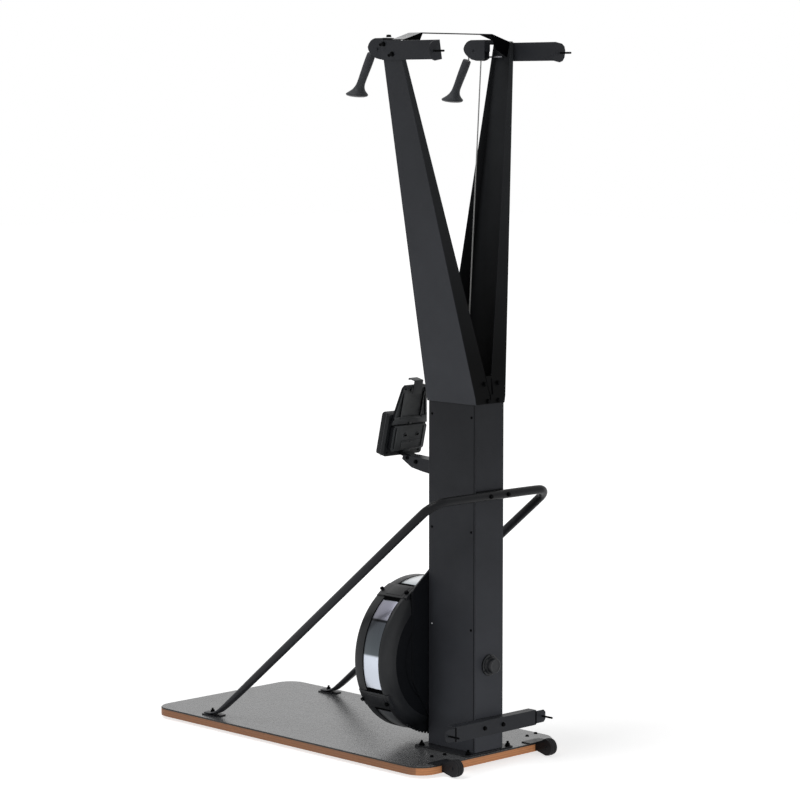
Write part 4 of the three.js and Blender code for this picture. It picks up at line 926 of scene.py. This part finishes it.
STRAP_ANGLES = (60, -30, -120, 150)
GAP_OFFSET_DEG = 8.6
GAP_ARC_DEG = 2.6
strap_parts = []
strap_gap_shadows = []
for angle in STRAP_ANGLES:
    cover = drum_arc("strap_cover", 235.2, 238.0, -327, -221.4, angle, 14)
    soften(cover, 0.0012, 3, 40)
    rim = drum_arc("strap_root", 229, 235.6, -334, -306, angle, 15)
    soften(rim, 0.0006, 2, 40)
    toe = drum_arc("strap_toe", 225, 237.2, -222.4, -211, angle, 12)
    soften(toe, 0.0016, 3, 40)
    lip = drum_arc("strap_lip", 237.6, 239.0, -300, -233, angle, 10)
    soften(lip, 0.0008, 3, 40)
    strap_parts += [cover, rim, toe, lip]
    # Painted shadow in the gaps beside each strap
    for end in (-1, 1):
        gap_deg = angle + end * GAP_OFFSET_DEG
        strap_gap_shadows.append(drum_arc("strap_gap_shadow", 233.3, 235.9, -297.6, -232.6, gap_deg, GAP_ARC_DEG, 3))
front = unite([front_ring, *rib_parts, *strap_parts], "drum_front_shell")
smooth(front, 34)
place_on(front, FRAME, "drum_plastic", "fan_front_cover")
# Strips of painted shadow beside the straps
gaps = unite(strap_gap_shadows, "strap_gap_shadows")
smooth(gaps, 34)
place_on(gaps, FRAME, "drum_plastic", look="gap")


# Drum's screws and knobs, and the damper plate

def on_rim(radius, turn, y):
    return radius * math.cos(turn), back(y), DRUM_AXIS_Z + radius * math.sin(turn)


SCREW_LAG_DEG = 1
FRONT_SCREW_COUNT = 8
for number, angle in enumerate(STRAP_ANGLES, 1):
    turn = math.radians(angle - SCREW_LAG_DEG)
    outward = (0, math.pi / 2 - turn, 0)
    fasten("hex", f"strap_screw_{number}", on_rim(0.2379, turn, -225.5), outward, 0.85)
    knob = turned_form(f"strap_knob_{number}", ORIGIN, "z", in_mm([
        (0, 0), (5.2, 0), (6.0, 0.6), (6.2, 3.0), (5.6, 5.2), (4.0, 6.2), (0, 6.4)]), 32)
    seat(knob, on_rim(0.2372, turn, -331), outward)
    smooth(knob, 34)
    place_on(knob, FRAME, "bolt_black")
for number in range(FRONT_SCREW_COUNT):
    turn = math.pi * (2 * number + 1) / FRONT_SCREW_COUNT
    fasten("pan", f"drum_front_screw_{number + 1}", on_rim(0.212, turn, -340), TO_FRONT, 1.2)

damper = sheet_copy("damper_disc", "damper_plate", 0.0006)
smooth(damper, 32)
place_on(damper, "damper_body", "drum_plastic", "damper_disc")


# Axle cap

CAP_SCREW_COUNT = 3
cap = drum_ring("axle_cover", [
    (11.4, 0.4), (31.6, 0.4), (32, 0.9), (32, 5.2), (31.2, 6.2), (29.5, 6.8), (27.4, 7.0), (26.6, 6.4),
    (25.6, 6.4), (25.2, 7.0), (25.0, 12.5), (24.6, 13.2), (23.2, 13.4), (22.6, 14.0), (22.5, 24.6),
    (22.0, 26.0), (20.8, 26.8), (19.0, 27.0), (17.4, 26.8), (16.8, 26.2), (16.0, 26.0), (8, 26.4),
    (0, 26.5)], 96)
smooth(cap, 34)
place_on(cap, FRAME, "drum_plastic", "axle_cap")
for number in range(CAP_SCREW_COUNT):
    turn = math.pi / 2 + 2 * math.pi * number / CAP_SCREW_COUNT
    fasten("pan", f"cap_screw_{number + 1}", on_rim(0.0290, turn, 6.6), TO_BACK, 0.6)


# Pulleys, wheels and pads

PULLEY_PLACE = (0.20001, back(-260.01), 2.119)
WHEEL_PLACE = (0.2005, back(56), 0.028)


def mirrored_ring(half, middle=()):
    """Closed outline of a wheel from its left half, in mm: radius, place along the axle."""
    other = [(radius, -along) for radius, along in reversed(half)]
    return in_mm([*half, *middle, *other, half[0]])


PULLEY_OUTLINE = mirrored_ring([
    (4.4, -6), (9, -6), (9.6, -5.4), (10.2, -4.2), (19, -4.2), (20, -5.4), (20.8, -6), (28, -6),
    (28.5, -5.5), (28.5, -4.6), (27.4, -3.6), (25.6, -2.2), (24.7, -1)], [(24.5, 0)])
WHEEL_OUTLINE = mirrored_ring([
    (4.4, -9), (8, -9), (8.8, -8.2), (18, -8.2), (19, -9), (23.4, -9), (25, -8.4), (25.8, -7.2),
    (26, -5.6), (26, -2.6), (25.2, -2.2), (25.2, -1.4), (26, -1)])
PAD_OUTLINE = in_mm([
    (0, 0.8), (9, 0.6), (10, 0), (18.4, 0), (19.6, 0.5), (20, 1.4), (20, 3.4), (19.2, 4), (19.2, 4.8),
    (20, 5.4), (20, 8), (19.4, 8.6), (0, 8.7)])
for side, sign in SIDES:
    for name, (x, y, z), outline, body, slot_name, node_name in (
            ("cord_wheel", PULLEY_PLACE, PULLEY_OUTLINE, "pulley", "pulley_plastic", "top_pulley"),
            ("roller", WHEEL_PLACE, WHEEL_OUTLINE, "wheel", "wheel_rubber", "transport_wheel")):
        wheel = turned_form(f"{name}_{side}", (sign * x, y, z), "x", outline, 72)
        smooth(wheel, 34)
        place_on(wheel, f"{body}_{side}_body", slot_name, f"{node_name}_{side}")
    for end in ("back", "front"):
        low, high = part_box(f"foot_pad_{end}_{side}")
        middle = ((low[0] + high[0]) / 2, (low[1] + high[1]) / 2, 0)
        pad = turned_form(f"floor_pad_{end}_{side}", middle, "z", PAD_OUTLINE, 48)
        smooth(pad, 34)
        place_on(pad, FRAME, "foot_rubber", f"foot_pad_{end}_{side}")


# Wall screws with a rolled thread

SCREW_HEAD = 0.0048
THREAD_PITCH = 0.0022
THREAD_ROOT = 0.0024
THREAD_CREST = 0.0031


def wall_screw(name, node_name):
    low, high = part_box(node_name)
    radius = (high[0] - low[0]) / 2
    x, z = (low[0] + high[0]) / 2, (low[2] + high[2]) / 2
    head = low[1] + SCREW_HEAD
    profile = [
        (0, low[1]), (radius * 0.55, low[1] + 0.0001), (radius * 0.85, low[1] + 0.0008),
        (radius, low[1] + 0.0020), (radius, head - 0.0004), (radius * 0.96, head), (0.0021, head)]
    y = head + 0.006
    while y < high[1] - 0.004:
        profile += [(THREAD_ROOT, y), (THREAD_CREST, y + 0.0007), (THREAD_ROOT, y + 0.0014)]
        y += THREAD_PITCH
    profile += [(0.0022, high[1] - 0.0030), (0, high[1])]
    screw = turned_form(name, (x, 0, z), "y", profile, 20)
    smooth(screw, 34)
    place_on(screw, FRAME, "bolt_black", node_name)


for side, sign in SIDES:
    for level in ("upper", "lower"):
        wall_screw(f"anchor_screw_{level}_{side}", f"wall_screw_{level}_{side}")


# Cords

def cord_run(name, points, radius, node_name):
    clear()
    path = bpy.data.curves.new(name, "CURVE")
    path.dimensions = "3D"
    line = path.splines.new("POLY")
    line.points.add(len(points) - 1)
    for spot, place in zip(line.points, points):
        spot.co = (*place, 1)
    path.bevel_depth = radius
    path.bevel_resolution = 3
    path.use_fill_caps = True
    run = bpy.data.objects.new(name, path)
    bpy.context.collection.objects.link(run)
    only(run)
    bpy.ops.object.convert(target="MESH")
    run = bpy.context.object
    smooth(run, 60)
    place_on(run, FRAME, "cord_braid", node_name)


CORD_RADIUS = 0.0020
CORD_WRAP = 0.0268
WRAP_STEPS = 24
SPOOL_WRAP = 0.0203
CAP_TOP_Z = 1.1043
CORD_STARTS = {"right": (SPOOL_WRAP, back(-135.3)), "left": (-SPOOL_WRAP, back(-119.3))}
for side, sign in SIDES:
    x, y = CORD_STARTS[side]
    route = [(x, y, DRUM_AXIS_Z), (x, y, CAP_TOP_Z)]
    for step in range(WRAP_STEPS + 1):
        turn = math.pi * step / WRAP_STEPS
        route.append((sign * PULLEY_PLACE[0], PULLEY_PLACE[1] + CORD_WRAP * math.cos(turn),
                      PULLEY_PLACE[2] + CORD_WRAP * math.sin(turn)))
    cord_run(f"drive_line_{side}", route, CORD_RADIUS, f"drive_cord_{side}")


# Column: painted shadow in the cover seams, and fasteners

SEAM_BACK = back(-6.3)
SEAM_FRONT = back(-7.9)
SIDE_SCREW_HEIGHTS = (1.042, 0.7015, 0.408)
PLATED_ROW = 3
FOOT_STUDS = ((0.0930, -190), (0.0850, -3))


def shadow_strip(name, low, high, edge=0.0001):
    """Thin strip of painted shadow that stands for the shade in a seam or a fold."""
    line = block(name, low, high)
    soften(line, edge, 1, 40)
    return line


def place_shadow_strip(line):
    place_on(line, FRAME, "frame_paint", look="gap")


def fasten_column_side(side, sign):
    turn = TO_RIGHT if sign > 0 else TO_LEFT
    x0, x1 = span_on(sign, COLUMN_SIDE - 0.0006, COLUMN_SIDE + 0.00025)
    # Painted shadow in the seam between the shell and the rear cover
    place_shadow_strip(shadow_strip(f"cover_seam_shadow_{side}", (x0, SEAM_FRONT, 0.046), (x1, SEAM_BACK, 1.0855)))
    for row, z in enumerate(SIDE_SCREW_HEIGHTS, 1):
        cover_place = (sign * COLUMN_SIDE, back(-18), z)
        shell_place = (sign * COLUMN_SIDE, back(-182), z)
        size, look = (0.5, "zinc") if row == PLATED_ROW else (0.75, None)
        fasten("socket", f"cover_screw_{row}_{side}", cover_place, turn, 0.75)
        fasten("socket", f"shell_screw_{row}_{side}", shell_place, turn, size, look)
    for row, (x, y) in enumerate(FOOT_STUDS, 1):
        fasten("stud", f"foot_stud_{row}_{side}", (sign * x, back(y), 0.0400), UP)


for side, sign in SIDES:
    fasten_column_side(side, sign)


# Arm foot: screws, and the gusset between the two flanges

FLANGE_SLOPE = 0.1357
FLANGE_LEAN = math.atan(FLANGE_SLOPE)
BEND_Z = 1106.7
FLANGE_FACE_Y = 2.3
ARM_FOOT_SCREWS = ((20.5, 1139.5), (-36, 1140), (10.4, 1088.9), (-33.3, 1088.9))
for number, (x, z) in enumerate(ARM_FOOT_SCREWS, 1):
    y = FLANGE_FACE_Y - FLANGE_SLOPE * max(0, z - BEND_Z)
    lean = FLANGE_LEAN if z > BEND_Z else 0
    fasten("hex", f"arm_foot_screw_{number}", (x * MM, back(y), z * MM), (lean - math.pi / 2, 0, 0), 0.85)
GUSSET_TAPER = 0.06
gusset = block("flange_gusset", (-0.0135, -0.0018, 0.0004), (0.0135, 0.0002, 0.0560))
open_mesh(gusset, "DESELECT")
close_mesh()
for vertex in gusset.data.vertices:
    vertex.select = vertex.co.z < 0.02
bpy.ops.object.mode_set(mode="EDIT")
bpy.ops.transform.resize(value=(GUSSET_TAPER, 1, 1))
close_mesh()
soften(gusset, 0.0003, 2, 40)
# Painted shadow in the gusset's groove
groove_shadow = block("gusset_groove_shadow", (-0.0117, -0.0012, 0.0010), (-0.0083, 0.0008, 0.0480))
for plate in (gusset, groove_shadow):
    seat(plate, (0, back(FLANGE_FACE_Y), BEND_Z * MM), (FLANGE_LEAN, 0, 0))
soften(groove_shadow, 0.0001, 1, 40)
# The gusset takes the flanges' painted shade
place_on(gusset, FRAME, "frame_paint", look="flange")
place_shadow_strip(groove_shadow)
# Painted shadow in the seam between the arms' flanges
place_shadow_strip(shadow_strip("arm_seam", (-0.0017, back(1.2), 1.0872), (0.0017, back(3.0), 1.1072), 0.0002))


# Wall bracket and brace crossbar

BRACKET_BOLTS = (49.9, -28.5)
BRACKET_BOLT_Z = 0.1198
BRACE_BOLTS = (22, -52)
BRACE_BOLT_Z = 0.809
for number, x in enumerate(BRACKET_BOLTS, 1):
    fasten("hex", f"bracket_bolt_{number}", (x * MM, back(31.5), BRACKET_BOLT_Z), TO_BACK, 0.8)
# Painted shadow at the bracket's folds
fold_shadows = []
for side, sign in SIDES:
    x0, x1 = span_on(sign, 0.1690, 0.1745)
    fold_shadows.append(shadow_strip(f"fold_shadow_{side}", (x0, back(31.3), 0.0985), (x1, back(31.75), 0.1395)))
place_shadow_strip(unite(fold_shadows, "bracket_fold_shadows"))
for number, x in enumerate(BRACE_BOLTS, 1):
    fasten("hex", f"brace_bolt_{number}", (x * MM, back(27.2), BRACE_BOLT_Z), TO_BACK, 0.8)


# Arm tops, wheel plates and leg feet

WEB_SLOPE = 0.1708
WEB_LEAN = math.atan(WEB_SLOPE)
STRIP_FACE_X = 0.2412
STRIP_MIDDLE_Z = 2.1143
STRIP_BOLTS = (
    (-197, 2.132, "hex", 0.85), (-212, 2.130, "pan", 1.3), (-166, 2.103, "hex", 0.85),
    (-181, 2.099, "pan", 1.3))
ROD_FRONTS = {"right": back(-214), "left": back(-234)}
ROD_END = back(-171)
WHEEL_BOLTS = ((0.1770, -9.6), (0.2226, -17))
for side, sign in SIDES:
    turn = (0, sign * (math.pi / 2 + WEB_LEAN), 0)
    for number, (y, z, kind, size) in enumerate(STRIP_BOLTS, 1):
        x = STRIP_FACE_X + (z - STRIP_MIDDLE_Z) * WEB_SLOPE
        fasten(kind, f"strip_bolt_{number}_{side}", (sign * x, back(y), z), turn, size)
    fasten("hex", f"bridge_bolt_{side}", (sign * 0.2215, back(-199), 2.1518), UP)
    front = ROD_FRONTS[side]
    rod = turned_form(f"housing_rod_{side}", (sign * 0.2260, 0, 2.0995), "y", [
        (0, front), (0.0048, front), (0.0050, front + 0.0006), (0.0050, front + 0.0032),
        (0.0026, front + 0.0036), (0.0026, ROD_END - 0.001), (0.0021, ROD_END), (0, ROD_END)], 24)
    smooth(rod, 34)
    place_on(rod, FRAME, "bolt_black", look="rod")
    plate_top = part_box(f"wheel_fork_{side}")[1][2]
    for number, (x, y) in enumerate(WHEEL_BOLTS, 1):
        fasten("hex", f"wheel_bolt_{number}_{side}", (sign * x, back(y), plate_top), UP, 0.7)
    fasten("stud", f"foot_bolt_{side}", (sign * 0.250, back(-973), 0.0439), UP, 0.9)


# Monitor, drawn upright about its pivot and then leaned back

MONITOR_LEAN = math.radians(-13)
MONITOR_PIVOT = (0, back(-325), 0.893)
SHADED_FLANK_TURN = 0.4


def lean_on(piece):
    return seat(piece, MONITOR_PIVOT, (MONITOR_LEAN, 0, 0))


def monitor_block(name, low, high, edge=0, steps=2):
    """Block in mm from the monitor's pivot, sharp where edge is 0."""
    piece = block(name, [v * MM for v in low], [v * MM for v in high])
    if edge:
        soften(piece, edge * MM, steps, 40)
    return lean_on(piece)


# Monitor's case and back

case = sheet_copy("display_case", "monitor_case", 0.0026, 3)
smooth(case, 34)
place_on(case, "monitor_body", "monitor_plastic", "display_case")
seam = monitor_block("case_seam", (-80.2, -60.6, -7.2), (80.2, -59.4, 126.2), 0.3)
hollow(seam, monitor_block("seam_pocket", (-79.5, -61, -6.5), (79.5, -59, 125.5)))
place_on(seam, "monitor_body", "button_rubber")

rear = sheet_copy("display_back", "monitor_rear", 0.0016, 3)
PORTS = (9, -42)
rear_parts = [
    rear,
    monitor_block("rear_rib", (54, -31, 20), (61, -26.4, 88), 1.6, 3),
    monitor_block("rear_rib_low", (-61, -31, 20), (-54, -27.4, 88), 1.6, 3),
    *[monitor_block("port_frame", (x, -31, 56), (x + 14, -28.6, 66), 0.8) for x in PORTS],
    *[monitor_block("port_step", (x + 2, -31, 67), (x + 12, -28.9, 70), 0.6) for x in PORTS],
    monitor_block("door_frame", (-50, -31, 17), (30, -28.8, 46), 1.0),
    monitor_block("door_latch", (-16, -29.5, 38), (-4, -27.6, 43), 0.7),
]
rear = unite(rear_parts, "monitor_rear")
for x in PORTS:
    hollow(rear, monitor_block("port_well", (x + 2, -31, 58), (x + 12, -27, 64)))
hollow(rear, monitor_block("door_well", (-48, -29.6, 18.6), (28, -28, 36)))
smooth(rear, 34)
place_on(rear, "monitor_body", "monitor_plastic", "display_back", look="back_shell")
# Painted shade on the back's flanks that face +X
coat_faces(rear, SPECIAL["disc"], lambda c, n: n.x > SHADED_FLANK_TURN)
# Painted shadow in the port wells: dark blocks in the seam-shadow paint
port_shadows = unite([
    monitor_block("port_well_shadow", (x + 2.3, -31.2, 58.3), (x + 11.7, -29.2, 63.7), 0.4) for x in PORTS],
    "port_well_shadows")
place_on(port_shadows, "monitor_body", "button_rubber", look="gap")


# Phone cradle and the monitor's screws

cradle = sheet_copy("phone_cradle", "phone_rest", 0.0010)
cradle_parts = [
    cradle,
    monitor_block("rest_ledge", (-44, -41.4, 112), (44, -34.6, 116), 0.7),
    monitor_block("rest_rib_right", (40, -41.4, 118), (44, -35.4, 196), 0.7),
    monitor_block("rest_rib_left", (-44, -41.4, 118), (-40, -35.4, 196), 0.7),
    monitor_block("rest_lever", (13, -37, 199), (19, -32.6, 212), 0.8),
    monitor_block("rest_catch", (-6, -37, 94.5), (6, -33, 101), 0.8),
]
cradle = unite(cradle_parts, "phone_rest")
smooth(cradle, 34)
place_on(cradle, "monitor_body", "monitor_plastic", "phone_cradle", look="back_shell")
# Painted shade on the cradle's flanks that face +X
coat_faces(cradle, SPECIAL["disc"], lambda c, n: n.x > SHADED_FLANK_TURN)
REST_SCREWS = ((40, 208), (-38, 206), (-38, 136), (71, 113), (-44, 116))
CASE_SCREWS = ((66, 118), (66, 4), (-66, 118), (-66, 4))
for name, y, spots in (("rest", -36, REST_SCREWS), ("case", -46, CASE_SCREWS)):
    for number, (x, z) in enumerate(spots, 1):
        place = (x * MM, y * MM, z * MM)
        screw = lean_on(copy_at(FORMS["pan"], f"{name}_screw_{number}", place, TO_BACK, 0.9))
        place_on(screw, "monitor_body", "bolt_black")


# Screen, keys and tilt pin

glass = sheet_copy("display_screen", "screen_pane", 0.0004)
smooth(glass, 34)
place_on(glass, "monitor_body", "screen_glass", "display_screen")
KEY_OUTLINE = in_mm([
    (0, -3.8), (8.6, -3.8), (9, -3.2), (9, 1.6), (8.6, 2.4), (7.8, 2.9), (6.6, 3), (5.4, 2.6), (3, 2.2),
    (0, 2.1)])
KEY_X = 0.055
KEY_Y = -0.079
KEY_HEIGHTS = (0.028, 0.064, 0.100)
for number, z in enumerate(KEY_HEIGHTS, 1):
    key = turned_form(f"key_{number}", ORIGIN, "z", KEY_OUTLINE, 48)
    seat(key, (KEY_X, KEY_Y, z), TO_FRONT)
    smooth(lean_on(key), 34)
    place_on(key, f"button_{number}_body", "button_rubber", f"display_button_{number}")

low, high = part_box("monitor_pivot")
left, right = low[0], high[0]
pin = turned_form("tilt_pin", (0, MONITOR_PIVOT[1], MONITOR_PIVOT[2]), "x", [
    (0, left), (0.0052, left), (0.0059, left + 0.0006), (0.0060, left + 0.0028), (0.0040, left + 0.0030),
    (0.0040, right - 0.0030), (0.0060, right - 0.0028), (0.0059, right - 0.0006), (0.0052, right),
    (0.0030, right), (0.0024, right - 0.0012), (0, right - 0.0012)], 32)
smooth(pin, 34)
place_on(pin, FRAME, "bolt_black", "monitor_pivot")
for side, sign in SIDES:
    turn = TO_RIGHT if sign > 0 else TO_LEFT
    fasten("hex", f"tilt_stop_bolt_{side}", (sign * 0.0220, back(-288), 0.884), turn, 0.8)


# The drawn-once forms have done their work

for form in FORMS.values():
    remove(form)


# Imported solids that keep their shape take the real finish

for part in frame["record"]["subparts"]:
    node = nodes[part["node"]]
    if not node.hide_render:
        coat(node, part["material_slot"])
